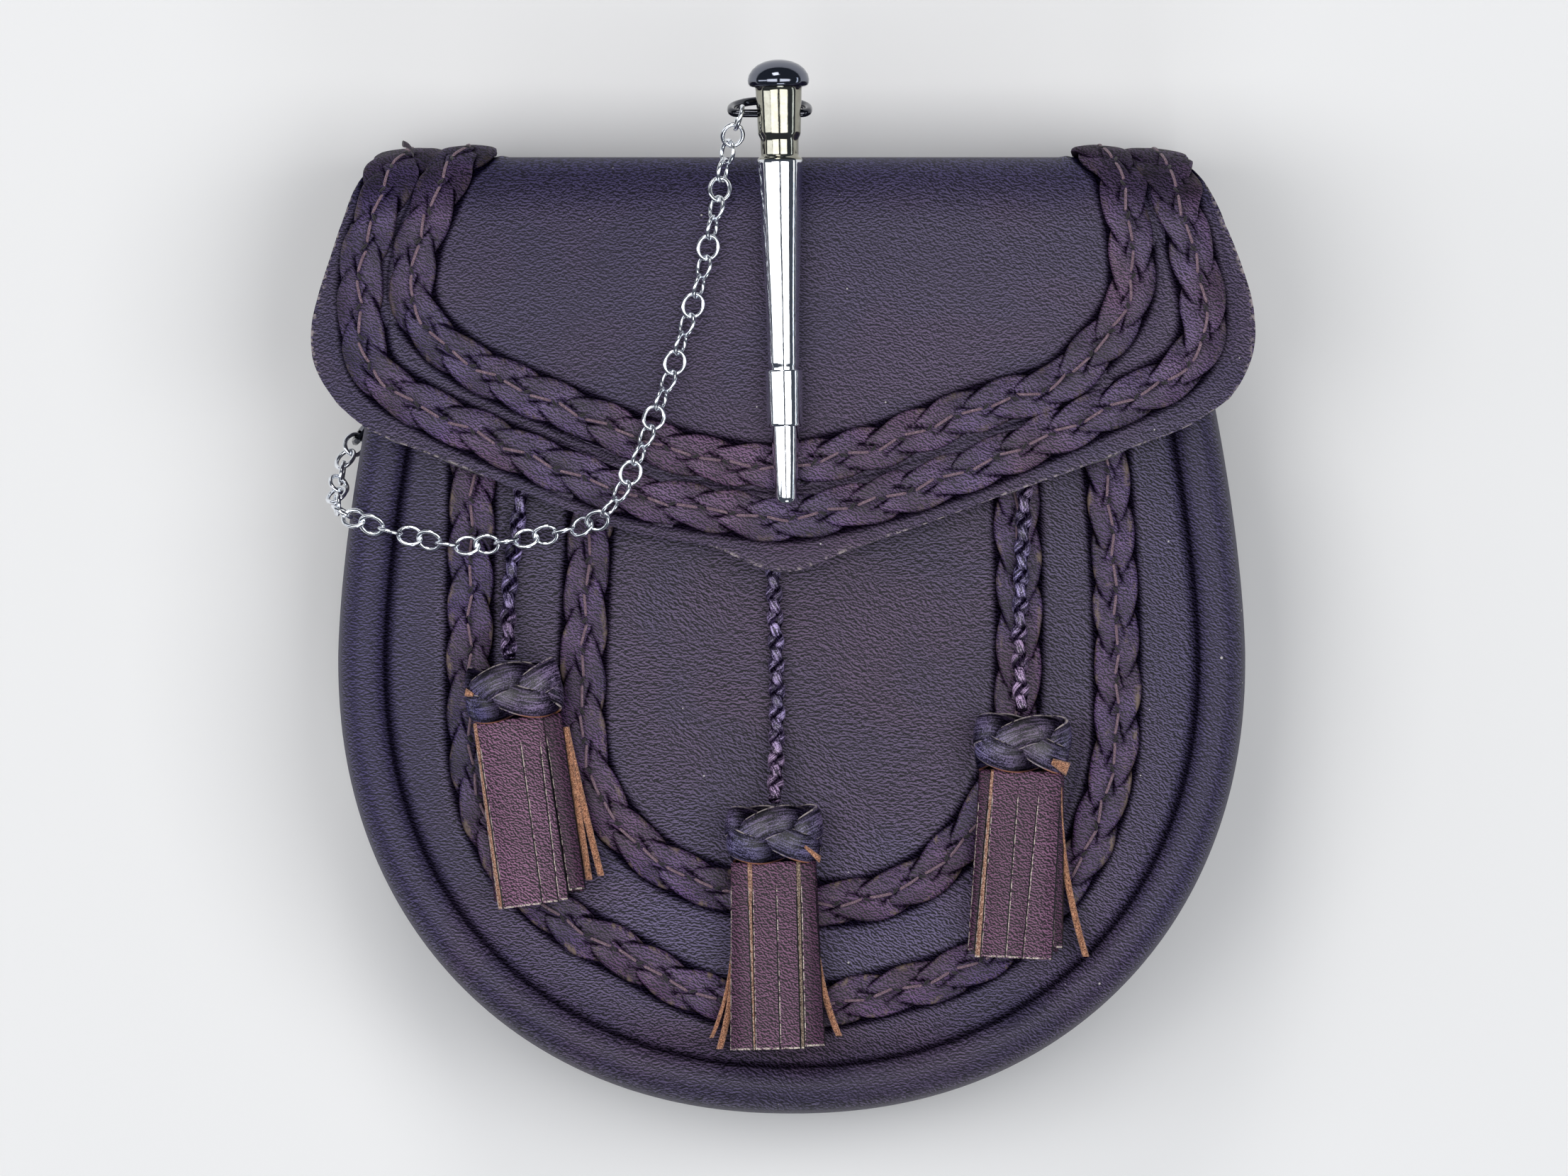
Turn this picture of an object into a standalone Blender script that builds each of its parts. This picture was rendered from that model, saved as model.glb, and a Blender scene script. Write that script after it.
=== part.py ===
"""A leather sporran pouch, lying on its back as it does when it is put down.

The pouch has a moulded front panel with a rolled rim, a gusset, a back panel and a flap that comes over the
top to a pointed tip. Raised plaits follow the flap and the front, three tassels hang on braided cords, and a
chained metal peg drops through a keeper on the flap. Two plain loops on the back take a belt.

Units are metres. The front faces +Z and the fold of the flap is towards +Y. The origin is under the middle of
the whole, on the floor. Run it with: blender --background --python part.py
"""

import math

import bmesh
import bpy
import numpy as np
from mathutils import Matrix, Vector

MM = 0.001
GAP = 0.3 * MM  # between pieces that touch

# Heights above the floor
LOOP_THICK = 2.4 * MM
LOOP_TUNNEL = 4.8 * MM
BACK_Z = LOOP_THICK + LOOP_TUNNEL  # outer face of the back panel
BACK_THICK = 2.5 * MM
RIM_Z = 46.0 * MM  # crown of the front's rolled rim
PANEL_Z = 45.7 * MM  # the front inside its groove, where its dome starts
DOME_RISE = 0.8 * MM
FLAP_Z = 55.4 * MM  # outer face of the flap
PEG_Z = 60.5 * MM  # axis of the peg

# The body's outline, seen from the front
BODY_X = 1.8 * MM
WIDEST_Y = -14.7 * MM
HALF_WIDTH = 92.9 * MM
BOWL_DEPTH = 93.1 * MM
BOWL_POWER = 2.15  # 2 is an ellipse, more is squarer
SHOULDER_TAPER = 5.5 * MM  # the half width lost over SHOULDER_RISE
SHOULDER_RISE = 47.9 * MM
SHOULDER_POWER = 1.6
BODY_TOP_Y = 74.0 * MM
SHOULDER_STEPS = 4
BOWL_STEPS = 12  # on each side

# The front panel from its outer edge inwards: inset from the outline, height
RIM = MM * np.array([
    (0.0, 34.0),
    (0.0, 38.8),
    (0.9, 42.6),
    (2.9, 45.2),
    (5.4, 46.0),
    (7.8, 45.4),
    (9.7, 43.9),
    (11.6, 45.2),
    (14.0, 45.7),
])
FRONT_THICK = 2.2 * MM
MIDDLE_RING = 0.5  # the front's inner ring, as a share of the way from the mouth to the groove

# The gusset from back to front: height, inset from the outline
GUSSET = MM * np.array([
    (10.7, 2.8),
    (17.0, 4.8),
    (27.0, 5.2),
    (38.0, 2.8),
])
GUSSET_THICK = 1.8 * MM

# The flap's profile
FOLD_Y = 88.2 * MM  # the top of the fold
FOLD_RADIUS = 14.0 * MM  # at the front
BACK_RADIUS = 10.0 * MM
BACK_LEG_Z = 4.3 * MM  # outer face of the part that is sewn to the back
BACK_LEG = 15.0 * MM
FLAP_THICK = 2.6 * MM
FRONT_BEND = FOLD_RADIUS * math.pi / 2  # lengths along the outer face
FOLD_TOP = FLAP_Z - FOLD_RADIUS - BACK_RADIUS - BACK_LEG_Z
BACK_BEND = BACK_RADIUS * math.pi / 2
FOLD_HALF_WIDTH = 82.0 * MM
DROOP_START = 62.0 * MM  # half width from which the sides bend back
DROOP = 7.0 * MM  # how far they have bent at DROOP_END
DROOP_END = 96.6 * MM
FLAP_LEAN = 0.016  # the flap's right half sits this much higher for each unit of width
# The flap's side edge, downwards: half width, place along Y
FLAP_SIDE = MM * np.array([
    (90.5, 74.2),
    (92.9, 67.9),
    (95.7, 59.2),
    (96.6, 52.0),
    (95.9, 45.5),
    (93.6, 41.0),
    (90.6, 37.5),
])
# The flap's lower edge, towards the tip: half width, place along Y
FLAP_FOOT = MM * np.array([
    (90.6, 37.5),
    (84.5, 33.1),
    (69.2, 27.0),
    (57.8, 22.4),
    (43.0, 17.4),
    (20.8, 10.3),
    (13.4, 7.9),
    (6.7, 4.7),
    (0.0, 3.1),
])
FLAP_COLUMNS = (0.0, 0.08, 0.16, 0.38, 0.62, 0.74, 0.84, 0.93, 1.0)  # shares of the half width

# Plaits, each a loop seen from the front. Rows from the top down: reach to the left, reach to the right, place
# along Y
PLAIT_WIDTH = 9.4 * MM
PLAIT_RISE = 1.9 * MM
FOLD_CROWDING = 3.0  # a plait has this many times more sections over the fold
FLAP_OUTER = MM * np.array([
    (78.9, 78.4, 87.1),
    (81.3, 79.8, 81.9),
    (83.0, 81.4, 76.6),
    (85.4, 83.4, 68.0),
    (85.9, 85.6, 57.0),
    (84.6, 84.2, 46.8),
    (81.6, 79.2, 42.1),
    (70.4, 63.6, 35.2),
    (47.5, 40.4, 24.9),
    (31.1, 23.3, 18.9),
    (16.3, 13.0, 16.2),
    (0.0, 0.0, 13.8),
])
FLAP_INNER = MM * np.array([
    (67.9, 68.1, 87.1),
    (69.7, 69.2, 81.9),
    (72.0, 70.2, 76.0),
    (75.0, 71.2, 68.0),
    (76.0, 71.5, 60.0),
    (73.8, 68.6, 54.3),
    (63.0, 60.6, 45.2),
    (47.5, 44.0, 37.8),
    (31.5, 28.4, 31.4),
    (16.5, 13.8, 26.7),
    (0.0, 0.0, 24.1),
])
FRONT_OUTER = MM * np.array([
    (62.9, 65.9, 40.0),
    (63.7, 67.4, 10.0),
    (64.0, 68.3, -12.0),
    (63.9, 68.3, -30.0),
    (59.2, 63.6, -50.0),
    (45.9, 50.4, -67.4),
    (30.5, 36.6, -77.4),
    (14.9, 17.6, -84.1),
    (-1.8, 1.8, -85.5),
])
FRONT_INNER = MM * np.array([
    (38.3, 46.0, 36.0),
    (40.1, 47.6, 5.0),
    (41.2, 48.3, -22.5),
    (39.2, 46.2, -39.4),
    (32.6, 38.9, -49.5),
    (23.0, 30.4, -57.9),
    (11.5, 19.0, -63.2),
    (-3.5, 3.5, -65.0),
])

# Tassels
CORD_RADIUS = 1.75 * MM
TASSEL_FLOOR = 49.2 * MM  # what lies under them: the front with its plaits
KNOT_HALF = (9.8 * MM, 5.5 * MM)  # half width, half depth
KNOT_LENGTH = 11.6 * MM
SKIRT_LENGTH = 38.5 * MM
SKIRT_TOP = (8.5 * MM, 5.0 * MM)  # half width, half depth
SKIRT_FOOT = (9.9 * MM, 4.0 * MM)
SKIRT_HEAD = 4.5 * MM
STRIPS = 9
STRIP_WIDTH = 4.4 * MM
STRIP_THICK = 1.1 * MM
# Cord routes down the front: x, y, height of the axis above the floor
CORDS = {
    "left": MM * np.array([
        (-53.4, 32.0, 48.6),
        (-53.6, 19.0, 48.4),
        (-54.8, 9.6, 48.3),
        (-55.9, 0.0, 48.5),
        (-56.2, -8.0, 50.9),
        (-55.9, -14.3, 53.9),
    ]),
    "centre": MM * np.array([
        (-2.6, 17.0, 48.7),
        (-2.0, 3.0, 48.7),
        (-1.4, -12.0, 48.7),
        (-1.2, -26.0, 48.8),
        (-1.4, -36.5, 50.9),
        (-1.7, -43.7, 53.9),
    ]),
    "right": MM * np.array([
        (49.6, 30.0, 50.8),
        (49.4, 19.0, 50.8),
        (48.8, 4.0, 50.8),
        (48.4, -10.0, 50.8),
        (48.5, -18.0, 52.1),
        (48.8, -25.2, 53.9),
    ]),
}
# Knots: centre x, centre y, lean in degrees (the foot to the right is positive)
KNOTS = {
    "left": (-55.0 * MM, -21.2 * MM, 7.0),
    "centre": (-1.8 * MM, -50.5 * MM, 1.5),
    "right": (48.9 * MM, -31.9 * MM, -2.5),
}

# The peg, from its domed end to its tip: distance, radius
PEG = MM * np.array([
    (0.0, 0.0),
    (0.5, 3.2),
    (1.8, 5.3),
    (3.6, 6.3),
    (5.2, 6.2),
    (5.8, 4.75),
    (15.4, 4.35),
    (16.5, 3.9),
    (19.7, 3.85),
    (20.3, 4.6),
    (62.6, 3.0),
    (75.6, 2.75),
    (90.2, 2.1),
    (90.8, 1.5),
    (90.8, 0.0),
])
PEG_STEPS = 16
PEG_TOP = (-1.0 * MM, 107.8 * MM)
PEG_TIP = (0.7 * MM, 17.0 * MM)
KEEPER_FROM = 63.4 * MM  # along the peg
KEEPER_LENGTH = 11.6 * MM
KEEPER_RADIUS = 3.8 * MM
KEEPER_BORE = 3.35 * MM
KEEPER_POST = (3.0 * MM, 7.0 * MM)  # width, length
KEEPER_FOOT = (14.0 * MM, 13.0 * MM, 1.6 * MM)  # width, length, thickness
SLOT_MARGIN = 0.6 * MM

# The ring in the peg's head: across, down its own plane
RING_X = -2.7 * MM
RING_Y = 96.8 * MM
RING_WIRE = 0.85 * MM
RING_TILT = math.radians(15.0)
RING_SHAPE = MM * np.array([
    (-5.0, 0.0),
    (5.0, 0.0),
    (7.1, -0.4),
    (7.85, -2.4),
    (7.4, -6.0),
    (4.6, -9.4),
    (0.0, -10.8),
    (-4.6, -9.4),
    (-7.4, -6.0),
    (-7.85, -2.4),
    (-7.1, -0.4),
])
RING_HOLE = 1.25 * MM

# The chain
LINK_LENGTH = 5.8 * MM
LINK_WIDTH = 5.0 * MM
LINK_WIRE = 0.46 * MM  # radius
LINK_SIDES = 10
WIRE_SIDES = 5
LINK_BITE = 0.12 * MM  # neighbours press into each other by this much
LINK_TWIST = math.radians(60.0)
LINK_PITCH = LINK_LENGTH - 4 * LINK_WIRE + LINK_BITE
CHAIN_ROUTE = MM * np.array([
    (-9.0, 95.9, 60.1),
    (-10.4, 91.9, 58.2),
    (-11.6, 87.9, 56.2),
    (-12.4, 84.4, 55.8),
    (-13.2, 79.4, 57.8),
    (-14.4, 73.5, 58.3),
    (-16.9, 62.3, 58.2),
    (-19.4, 54.4, 58.2),
    (-22.6, 44.4, 58.3),
    (-25.0, 38.0, 59.2),
    (-27.0, 33.0, 60.4),
    (-29.4, 27.0, 60.6),
    (-33.4, 18.9, 60.5),
    (-35.9, 15.6, 59.7),
    (-38.6, 13.2, 58.0),
    (-43.0, 12.0, 55.2),
    (-49.5, 10.5, 53.2),
    (-55.0, 9.6, 53.0),
    (-60.4, 8.8, 52.3),
    (-67.1, 8.6, 51.1),
    (-74.7, 10.2, 49.2),
    (-80.0, 11.4, 48.8),
    (-85.5, 13.3, 48.9),
    (-89.6, 15.0, 46.2),
    (-91.4, 17.2, 41.0),
    (-91.3, 20.1, 35.8),
    (-90.3, 24.0, 30.4),
    (-89.4, 27.6, 27.2),
    (-87.0, 30.2, 25.6),
])
EYE_RADIUS = 2.6 * MM
EYE_WIRE = 0.7 * MM
EYE_PLATE = (3.0 * MM, 1.2 * MM)  # radius, thickness
EYE_PLATE_X = -81.4 * MM  # its face on the gusset

# Belt loops on the back
LOOP_X = 48.0 * MM
LOOP_Y = 12.0 * MM
LOOP_WIDTH = 26.0 * MM
LOOP_TUNNEL_LENGTH = 60.0 * MM
LOOP_BEND = 4.0 * MM
LOOP_TAB = 7.0 * MM

LEATHER = (0.036, 0.022, 0.030)
PLAIT_LEATHER = (0.045, 0.026, 0.032)
CORD_LEATHER = (0.030, 0.020, 0.030)
KNOT_LEATHER = (0.018, 0.017, 0.026)
SKIRT_LEATHER = (0.075, 0.030, 0.030)
BACK_LEATHER = (0.030, 0.019, 0.025)
METAL = (0.82, 0.82, 0.84)


# Curves and outlines


def spline_points(points, steps, closed=False):
    """A smooth curve through the points, with this many steps between each two."""
    count = len(points)
    spans = count if closed else count - 1
    found = []
    for span in range(spans):
        picks = [span - 1, span, span + 1, span + 2]
        if closed:
            before, start, end, after = (points[i % count] for i in picks)
        else:
            before, start, end, after = (points[min(max(i, 0), count - 1)] for i in picks)
        for step in range(steps):
            t = step / steps
            found.append(
                0.5
                * (
                    2 * start
                    + (end - before) * t
                    + (2 * before - 5 * start + 4 * end - after) * t**2
                    + (3 * start - before - 3 * end + after) * t**3
                )
            )
    if not closed:
        found.append(points[-1])
    return np.array(found)


def evenly(points, count, crowding=1.0):
    """This many points spaced evenly along a run of points, or closer where the crowding is more."""
    lengths = np.linalg.norm(np.diff(points, axis=0), axis=1) * crowding
    along = np.concatenate([[0.0], np.cumsum(lengths)])
    wanted = np.linspace(0.0, along[-1], count)
    return np.stack([np.interp(wanted, along, column) for column in points.T], axis=1)


def loop_line(table):
    """A loop as a fine line from its top left end round its lowest point to its top right end."""
    left = [(-reach, y) for reach, _, y in table]
    right = [(reach, y) for _, reach, y in table[-2::-1]]
    return spline_points(np.array(left + right), 6)


def shoulder_half_width(y):
    rise = max(0.0, y - WIDEST_Y)
    return HALF_WIDTH - SHOULDER_TAPER * (rise / SHOULDER_RISE) ** SHOULDER_POWER


def body_stations():
    """The body's outline from its top left corner round the bottom to its top right one: place and inward way."""
    left = []
    for y in np.linspace(BODY_TOP_Y, WIDEST_Y, SHOULDER_STEPS, endpoint=False):
        left.append((-shoulder_half_width(y), y, 1.0, 0.0))
    for angle in np.linspace(0.0, math.pi / 2, BOWL_STEPS, endpoint=False):
        across, down = (abs(v) ** (2 / BOWL_POWER) for v in (math.cos(angle), math.sin(angle)))
        way = Vector((across ** (BOWL_POWER - 1) / HALF_WIDTH, down ** (BOWL_POWER - 1) / BOWL_DEPTH))
        way.normalize()
        left.append((-HALF_WIDTH * across, WIDEST_Y - BOWL_DEPTH * down, way.x, way.y))
    bottom = (0.0, WIDEST_Y - BOWL_DEPTH, 0.0, 1.0)
    right = [(-x, y, -way_x, way_y) for x, y, way_x, way_y in reversed(left)]
    stations = np.array([*left, bottom, *right])
    stations[:, 0] += BODY_X
    return stations


def inset_outline(stations, inset):
    """The body's outline moved inwards."""
    return stations[:, :2] + inset * stations[:, 2:]


def dome(x, y):
    """How far the front's middle rises above the leather beside the groove."""
    across = 1 - ((x - BODY_X) / HALF_WIDTH) ** 2
    along = 1 - ((y - WIDEST_Y) / BOWL_DEPTH) ** 2
    return DOME_RISE * max(0.0, across) * max(0.0, along)


def front_point(x, y, height):
    """A point this high above the front panel."""
    return Vector((x, y, PANEL_Z + dome(x, y) + height))


def droop(x):
    """How far the flap's leather has bent back at a place across it, and how steeply."""
    reach = DROOP_END - DROOP_START
    share = max(0.0, abs(x) - DROOP_START) / reach
    return DROOP * share**2, math.copysign(2 * DROOP * share / reach, x)


def fold_profile(up):
    """The flap's outer face as (y, z) and its way out, this far up the front from where the fold starts.

    Past zero it goes over the fold: the front bend, the flat top, the back bend and the back.
    """
    front_y = FOLD_Y - FOLD_RADIUS
    if up <= 0:
        return front_y + up, FLAP_Z, 0.0, 1.0
    if up <= FRONT_BEND:
        angle = up / FOLD_RADIUS
        out_y, out_z = math.sin(angle), math.cos(angle)
        return front_y + FOLD_RADIUS * out_y, FLAP_Z - FOLD_RADIUS + FOLD_RADIUS * out_z, out_y, out_z
    past = up - FRONT_BEND
    if past <= FOLD_TOP:
        return FOLD_Y, FLAP_Z - FOLD_RADIUS - past, 1.0, 0.0
    past -= FOLD_TOP
    centre_y, centre_z = FOLD_Y - BACK_RADIUS, BACK_LEG_Z + BACK_RADIUS
    angle = min(past / BACK_RADIUS, math.pi / 2)
    out_y, out_z = math.cos(angle), -math.sin(angle)
    rest = max(0.0, past - BACK_BEND)
    return centre_y + BACK_RADIUS * out_y - rest, centre_z + BACK_RADIUS * out_z, out_y, out_z


def flap_point(x, up, height):
    """A point this high above the flap's outer face, and the way out of the leather there."""
    y, z, out_y, out_z = fold_profile(up)
    bent, slope = (value * droop_share(up) for value in droop(x))
    out = Vector((slope, out_y, out_z)).normalized()
    return Vector((x, y - out_y * bent, z - out_z * bent)) + out * height


def droop_share(up):
    """The droop fades out over the top, because the flap's end is sewn flat to the back."""
    return min(1.0, max(0.0, 1.0 - (up - FOLD_RADIUS) / (FOLD_TOP + FOLD_RADIUS)))


def fold_distance(y):
    """How far up from the start of the fold a place along Y is, as the flap is seen from the front."""
    past = y - (FOLD_Y - FOLD_RADIUS)
    return past if past <= 0 else FOLD_RADIUS * math.asin(min(1.0, past / FOLD_RADIUS))


# Objects


def collection(name):
    made = bpy.data.collections.new(name)
    bpy.context.scene.collection.children.link(made)
    return made


def surface_material(name, colour, roughness, metallic=0.0):
    made = bpy.data.materials.new(name)
    made.use_nodes = True
    shader = made.node_tree.nodes["Principled BSDF"]
    shader.inputs["Base Color"].default_value = (*colour, 1.0)
    shader.inputs["Roughness"].default_value = roughness
    shader.inputs["Metallic"].default_value = metallic
    made.diffuse_color = (*colour, 1.0)
    return made


def mesh_object(name, points, faces, material, smooth_angle=40.0):
    """A mesh object in the part's collection, shaded smooth but for its sharp edges."""
    mesh = bpy.data.meshes.new(name)
    mesh.from_pydata([tuple(p) for p in points], [], faces)
    mesh.validate()
    mesh.shade_smooth()
    mesh.set_sharp_from_angle(angle=math.radians(smooth_angle))
    mesh.materials.append(material)
    made = bpy.data.objects.new(name, mesh)
    PARTS.objects.link(made)
    return made


def grid_faces(rows, columns):
    """The faces of a grid of points, row by row. They face out where rows run up from columns that run right."""
    return [
        (
            row * columns + column,
            row * columns + column + 1,
            (row + 1) * columns + column + 1,
            (row + 1) * columns + column,
        )
        for row in range(rows - 1)
        for column in range(columns - 1)
    ]


def loft_mesh(sections):
    """Points and faces of a closed solid through sections that turn anticlockwise about the way they go."""
    count = len(sections[0])
    points = [p for section in sections for p in section]
    faces = []
    for ring in range(len(sections) - 1):
        for side in range(count):
            after = (side + 1) % count
            low, high = ring * count, (ring + 1) * count
            faces.append((low + side, low + after, high + after, high + side))
    last = (len(sections) - 1) * count
    faces.append(tuple(reversed(range(count))))
    faces.append(tuple(last + side for side in range(count)))
    return points, faces


def joined(pieces):
    """The points and faces of several shapes as one list."""
    all_points, all_faces = [], []
    for points, faces in pieces:
        start = len(all_points)
        all_points.extend(points)
        all_faces.extend(tuple(start + i for i in face) for face in faces)
    return all_points, all_faces


def thicken(piece, thickness):
    """Gives an open surface its thickness, inwards from the face that shows."""
    modifier = piece.modifiers.new("leather", "SOLIDIFY")
    modifier.thickness = thickness
    modifier.offset = -1.0
    modifier.use_even_offset = True


def combine(piece, other, operation, own_crossings=False):
    """A Boolean of piece with a helper, which is hidden with the other helpers."""
    modifier = piece.modifiers.new(operation.lower(), "BOOLEAN")
    modifier.operation = operation
    modifier.solver = "EXACT"
    modifier.use_self = own_crossings
    modifier.object = other
    for holder in list(other.users_collection):
        holder.objects.unlink(other)
    HELPERS.objects.link(other)
    other.hide_render = True
    other.display_type = "WIRE"


def box(name, low, high, material):
    """A box from its lowest to its highest corner."""
    size = Vector(high) - Vector(low)
    centre = (Vector(high) + Vector(low)) / 2
    shape = bmesh.new()
    bmesh.ops.create_cube(shape, size=1.0, matrix=Matrix.Translation(centre) @ Matrix.Diagonal((*size, 1.0)))
    return from_bmesh(name, shape, material)


def rod(name, start, end, radius, sides, material):
    """A cylinder between two points."""
    way = Vector(end) - Vector(start)
    turn = way.to_track_quat("Z", "Y").to_matrix().to_4x4()
    shape = bmesh.new()
    bmesh.ops.create_cone(
        shape,
        cap_ends=True,
        segments=sides,
        radius1=radius,
        radius2=radius,
        depth=way.length,
        matrix=Matrix.Translation((Vector(start) + Vector(end)) / 2) @ turn,
    )
    return from_bmesh(name, shape, material)


def from_bmesh(name, shape, material):
    mesh = bpy.data.meshes.new(name)
    shape.to_mesh(mesh)
    shape.free()
    mesh.materials.append(material)
    made = bpy.data.objects.new(name, mesh)
    PARTS.objects.link(made)
    return made


def plate(name, outline, thickness, material):
    """A flat outline in its object's XY plane, thickened both ways from it."""
    curve = bpy.data.curves.new(name, "CURVE")
    curve.dimensions = "2D"
    curve.fill_mode = "BOTH"
    curve.extrude = thickness / 2
    spline = curve.splines.new("POLY")
    spline.points.add(len(outline) - 1)
    for point, (x, y) in zip(spline.points, outline, strict=True):
        point.co = (x, y, 0.0, 1.0)
    spline.use_cyclic_u = True
    curve.materials.append(material)
    made = bpy.data.objects.new(name, curve)
    PARTS.objects.link(made)
    return made


def tube(name, route, radius, material, bevel_resolution=2, closed=False):
    """A round tube along a route."""
    curve = bpy.data.curves.new(name, "CURVE")
    curve.dimensions = "3D"
    curve.bevel_depth = radius
    curve.bevel_resolution = bevel_resolution
    curve.use_fill_caps = not closed
    spline = curve.splines.new("POLY")
    spline.points.add(len(route) - 1)
    for point, place in zip(spline.points, route, strict=True):
        point.co = (*place, 1.0)
    spline.use_cyclic_u = closed
    curve.materials.append(material)
    made = bpy.data.objects.new(name, curve)
    PARTS.objects.link(made)
    return made


def turned(name, profile, steps, matrix, material):
    """A turned solid: a profile of (distance from the top, radius), placed with its axis along local Z."""
    points = [(radius, 0.0, -distance) for distance, radius in profile]
    edges = [(i, i + 1) for i in range(len(points) - 1)]
    mesh = bpy.data.meshes.new(name)
    mesh.from_pydata(points, edges, [])
    mesh.materials.append(material)
    made = bpy.data.objects.new(name, mesh)
    PARTS.objects.link(made)
    made.matrix_world = matrix
    screw = made.modifiers.new("turn", "SCREW")
    screw.steps = screw.render_steps = steps
    screw.use_merge_vertices = True
    screw.merge_threshold = 0.00001
    screw.use_smooth_shade = True
    return made


# Leather pieces


def front_panel(material):
    """The moulded front: a rim that rolls over from the side, the groove inside it and the domed middle."""
    stations = body_stations()
    mouth = Vector((BODY_X, BODY_TOP_Y))
    points = []
    for inset, height in RIM:
        for x, y in inset_outline(stations, inset):
            rise = dome(x, y) if height >= PANEL_Z and inset > 10 * MM else 0.0
            points.append((x, y, height + rise))
    inner = inset_outline(stations, RIM[-1][0])
    for place in inner:
        ring = mouth + MIDDLE_RING * (Vector(place) - mouth)
        points.append(front_point(*ring, 0.0))
    columns = len(stations)
    rows = len(RIM) + 1
    faces = grid_faces(rows, columns)
    points.append(front_point(*mouth, 0.0))
    last = (rows - 1) * columns
    faces += [(last + i, last + i + 1, len(points) - 1) for i in range(columns - 1)]
    made = mesh_object("front_panel", points, faces, material)
    thicken(made, FRONT_THICK)
    return made


def gusset(material):
    """The side wall, which dips in between the back and the front."""
    stations = body_stations()
    points = []
    for height, inset in GUSSET:
        points += [(x, y, height) for x, y in inset_outline(stations, inset)]
    made = mesh_object("gusset", points, grid_faces(len(GUSSET), len(stations)), material)
    thicken(made, GUSSET_THICK)
    return made


def back_panel(material):
    outline = inset_outline(body_stations(), 0.6 * MM)
    made = plate("back_panel", outline, BACK_THICK, material)
    made.location.z = BACK_Z + BACK_THICK / 2
    return made


def flap_rows():
    """The flap's rows from its lower edge up the front, over the fold and down the back: (x, up) for each column."""
    shares = [-c for c in reversed(FLAP_COLUMNS[1:])] + list(FLAP_COLUMNS)
    foot_half, foot_y = FLAP_FOOT[::-1].T
    corner_half, corner_y = FLAP_FOOT[0]
    rows = []
    downs = np.linspace(1.0, 0.0, len(FLAP_SIDE))
    for (half, side_y), down in zip(FLAP_SIDE[::-1], downs, strict=True):
        row = []
        for share in shares:
            reach = np.interp(abs(share) * corner_half, foot_half, foot_y) - corner_y
            x = share * half
            y = side_y + reach * down**1.2 + FLAP_LEAN * x * down
            row.append((x, fold_distance(y)))
        rows.append(row)
    ups = [0.25 * FRONT_BEND, 0.5 * FRONT_BEND, 0.75 * FRONT_BEND, FRONT_BEND, FRONT_BEND + FOLD_TOP]
    ups += [FRONT_BEND + FOLD_TOP + BACK_BEND * part for part in (0.33, 0.67, 1.0)]
    ups.append(FRONT_BEND + FOLD_TOP + BACK_BEND + BACK_LEG)
    narrowing = FLAP_SIDE[0][0] - FOLD_HALF_WIDTH
    for up in ups:
        half = FOLD_HALF_WIDTH + narrowing * max(0.0, 1 - up / FRONT_BEND) ** 1.5
        rows.append([(share * half, up) for share in shares])
    return rows


def flap(material):
    rows = flap_rows()
    points = [flap_point(x, up, 0.0) for row in rows for x, up in row]
    made = mesh_object("flap", points, grid_faces(len(rows), len(rows[0])), material)
    thicken(made, FLAP_THICK)
    width, length = (size / 2 + SLOT_MARGIN for size in KEEPER_POST)
    x, y = peg_place(KEEPER_FROM + KEEPER_LENGTH / 2)
    slot = box("flap_slot", (x - width, y - length, RIM_Z), (x + width, y + length, PEG_Z), material)
    combine(made, slot, "DIFFERENCE")
    return made


def plait(name, line, surface, material):
    """A raised plait along a line on a surface, flat below and crowned above."""
    outline = (
        (-0.5, 0.0),
        (-0.4, 0.6),
        (0.0, 1.0),
        (0.4, 0.6),
        (0.5, 0.0),
    )
    sections = []
    for i, place in enumerate(line):
        way = line[min(i + 1, len(line) - 1)] - line[max(i - 1, 0)]
        side = np.array((way[1], -way[0])) / np.linalg.norm(way)
        section = []
        for across, up in outline:
            spot = place + side * across * PLAIT_WIDTH
            section.append(surface(*spot, 2 * GAP + up * PLAIT_RISE))
        sections.append(section)
    return mesh_object(name, *loft_mesh(sections), material)


def front_plait(name, table, count, material):
    return plait(name, evenly(loop_line(table), count), front_point, material)


def flap_plait(name, table, count, material):
    """A plait on the flap, whose two ends go over the fold."""
    rows = [(left, right, fold_distance(y)) for left, right, y in table]
    left, right, _ = rows[0]
    over = [(left, right, FRONT_BEND + FOLD_TOP * part) for part in (0.8, 0.1)]
    line = loop_line(over + rows)
    bent = (line[1:, 1] > -GAP) & (line[:-1, 1] < FRONT_BEND + GAP)
    return plait(name, evenly(line, count, np.where(bent, FOLD_CROWDING, 1.0)), flap_point, material)


def belt_loop(name, x, material):
    """A band that stands off the back between two tabs: its outline from the side, which a belt passes along."""
    reach = LOOP_TUNNEL_LENGTH / 2
    end = reach + LOOP_BEND
    tab = end + LOOP_TAB
    high = BACK_Z - GAP
    half_outline = [
        (tab, high),
        (tab, high - LOOP_THICK),
        (end + 0.5 * LOOP_THICK, high - LOOP_THICK),
        (reach + 0.5 * LOOP_THICK, 0.0),
    ]
    inner = [
        (reach - 0.5 * LOOP_THICK, LOOP_THICK),
        (end - 0.5 * LOOP_THICK, high),
    ]
    outline = half_outline + [(-y, z) for y, z in reversed(half_outline)]
    outline += [(-y, z) for y, z in reversed(inner)] + inner
    made = plate(name, outline, LOOP_WIDTH, material)
    turn = Matrix(((0, 0, 1), (1, 0, 0), (0, 1, 0))).to_4x4()
    made.matrix_world = Matrix.Translation((x, LOOP_Y, 0.0)) @ turn
    return made


# Tassels


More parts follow.
